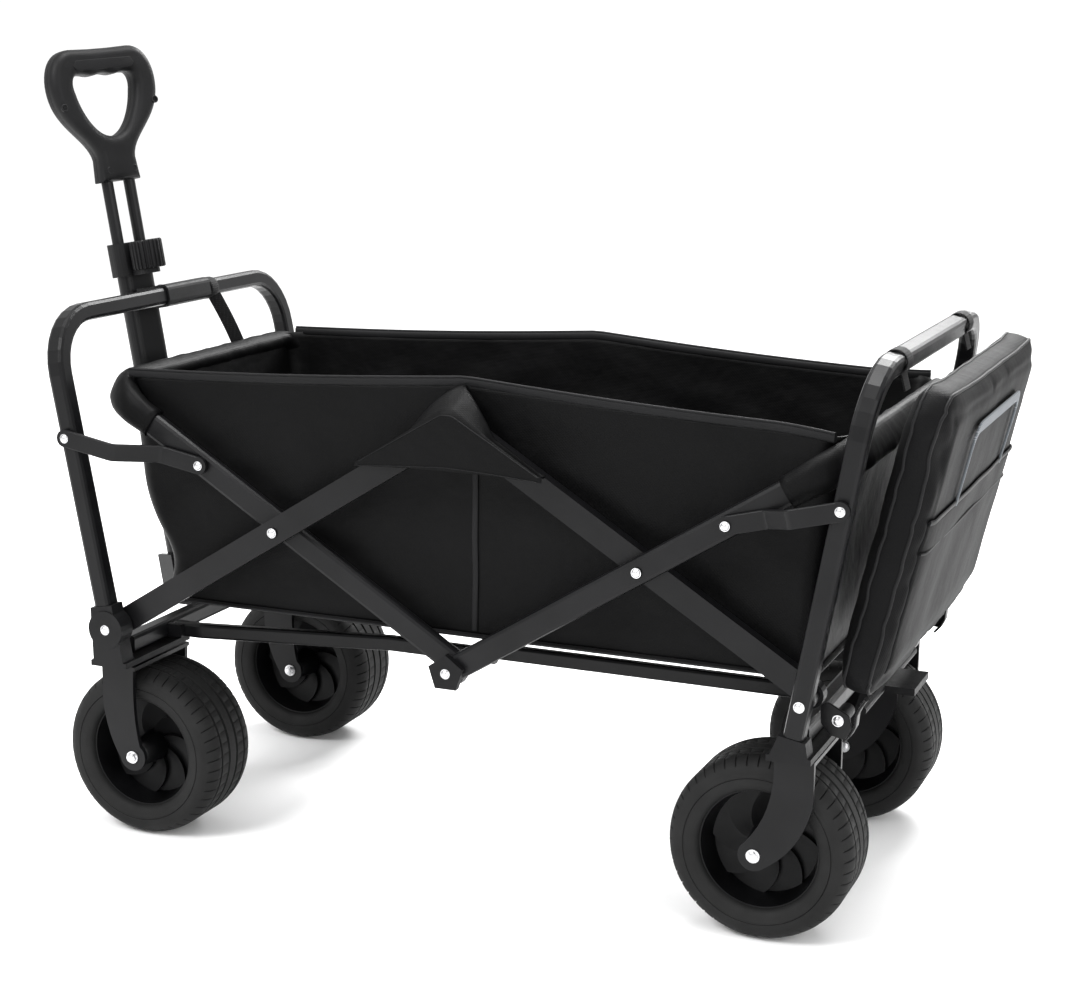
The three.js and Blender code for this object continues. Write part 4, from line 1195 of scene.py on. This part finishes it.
def build_brake_brackets():
    """On each side a pivot plate with its bolt, and the bent lever strip that the pedal bar moves."""
    pivot = joint_at("brake_press") + Vector((-2 * mm, 0, 19 * mm))
    plate = ((-17, 12), (-11, 17), (10, 6), (13, -6), (7, -18), (-8, -14), (-16, -4))
    strip = ((24, 21), (19, 13), (16, 6), (15, -5), (11, -13), (5, -20))
    for word, side in SIDES:
        loop = [(x * mm, z * mm) for x, z in rounded_flat(plate, 4)]
        mesh = curve_plate("bracket", [loop], 3.4 * mm, 0.8 * mm, 2)
        centre = Vector((pivot.x, side * BRACKET_Y, pivot.z))
        placed(mesh, centre, Vector((1, 0, 0)), Vector((0, 0, 1)))
        dress(bpy.data.objects.new(f"brake_bracket_{word}", mesh), STEEL, "rear_frame", 40)
        rivet(f"brake_bolt_{word}", pivot, side * BOLT_Y, side, "rear_frame", 4.6)
        bends = [centre + Vector((x * mm, -side * 7 * mm, z * mm)) for x, z in strip]
        path = dense(rounded(bends, 3 * mm, 3), 6 * mm)
        shape = swept(path, oval(13 * mm, 2.6 * mm, 14, 0.4), (0, 1, 0))
        piece(f"brake_lever_{word}", shape, STEEL, "brake", 50)
        spacer = [(6 * mm, 0), (7 * mm, 1 * mm), (7 * mm, 33 * mm), (6 * mm, 34 * mm)]
        profile = [(0, 0)] + spacer + [(0, 34 * mm)]
        start = Vector((pivot.x, side * SPACER_Y, pivot.z))
        piece(f"brake_spacer_{word}", turned(profile, start, (0, side, 0), 24), PLASTIC, "rear_frame", 40)


def rounded_flat(corners, radius):
    """A closed outline with rounded corners, in mm."""
    count = len(corners)
    points = []
    for i in range(count):
        a, b, c = (Vector((*corners[(i + k) % count], 0)) for k in (-1, 0, 1))
        points += [(p.x, p.y) for p in rounded([a.lerp(b, 0.5), b, b.lerp(c, 0.5)], radius, 4)[1:-1]]
    return points


# ---------- studio ----------


def build_studio():
    scene = bpy.context.scene
    bpy.ops.mesh.primitive_plane_add(size=14, location=(0, 0, -0.0005))
    floor = bpy.context.object
    floor.name = "studio_floor"
    made, shader = new_material("studio_white", 0.9)
    shader.inputs["Base Color"].default_value = (0.95, 0.95, 0.95, 1)
    floor.data.materials.append(made)
    world = bpy.data.worlds.new("studio")
    world.use_nodes = True
    world.node_tree.nodes["Background"].inputs["Color"].default_value = (1, 1, 1, 1)
    world.node_tree.nodes["Background"].inputs["Strength"].default_value = 1.06
    scene.world = world
    scene.view_settings.view_transform = "Standard"
    lights = (("key", (-1.2, -2.4, 2.6), 90, 1.2), ("fill", (2.6, -1.6, 1.5), 36, 1.6),
              ("back", (0.4, 2.6, 2.4), 130, 1.4), ("top", (0.0, 0.0, 3.0), 90, 1.2))
    for name, place, power, size in lights:
        data = bpy.data.lights.new(name, "AREA")
        data.energy = power
        data.size = size
        lamp = bpy.data.objects.new(name, data)
        lamp.location = place
        lamp.rotation_euler = (Vector((0, 0, 0.35)) - Vector(place)).to_track_quat("-Z", "Y").to_euler()
        scene.collection.objects.link(lamp)


def build_camera():
    """The viewing angle: from the near side, a quarter turned to the cover end, a little above."""
    azimuth, elevation, roll = math.radians(22.3), math.radians(12.3), math.radians(0.5)
    data = bpy.data.cameras.new("camera")
    data.lens = 69.1
    data.sensor_width = 36
    camera = bpy.data.objects.new("camera", data)
    back = Vector((math.sin(azimuth) * math.cos(elevation), -math.cos(azimuth) * math.cos(elevation),
                   math.sin(elevation)))
    camera.location = Vector((MID_X, 0, 0)) + Vector((0.8196, -1.9765, 0.8287))
    facing = back.to_track_quat("Z", "Y").to_matrix()
    camera.rotation_euler = (facing @ Matrix.Rotation(roll, 3, "Z")).to_euler()
    bpy.context.scene.collection.objects.link(camera)
    bpy.context.scene.camera = camera


build_camera()
finish_cad_nodes()
for end_name in ("front", "rear"):
    for side_name, _ in SIDES:
        build_tyre(end_name, side_name)
        build_hub(end_name, side_name)
build_rivets()
build_grip()
build_knob()
build_bag()
build_sleeve("front_end_sleeve", "front_rim_sleeve", "front_u", FRONT_BAR, X_FRONT, INNER_PLANE, 62 * mm)
build_sleeve("rear_end_sleeve", "rear_rim_sleeve", "rear_u", REAR_BAR, X_REAR, OUTER_PLANE, 62 * mm)
for side_name, side_sign in SIDES:
    build_flap(side_name, side_sign)
build_pad()
build_tie_strap()
build_pad_loops()
build_brake_brackets()
build_studio()
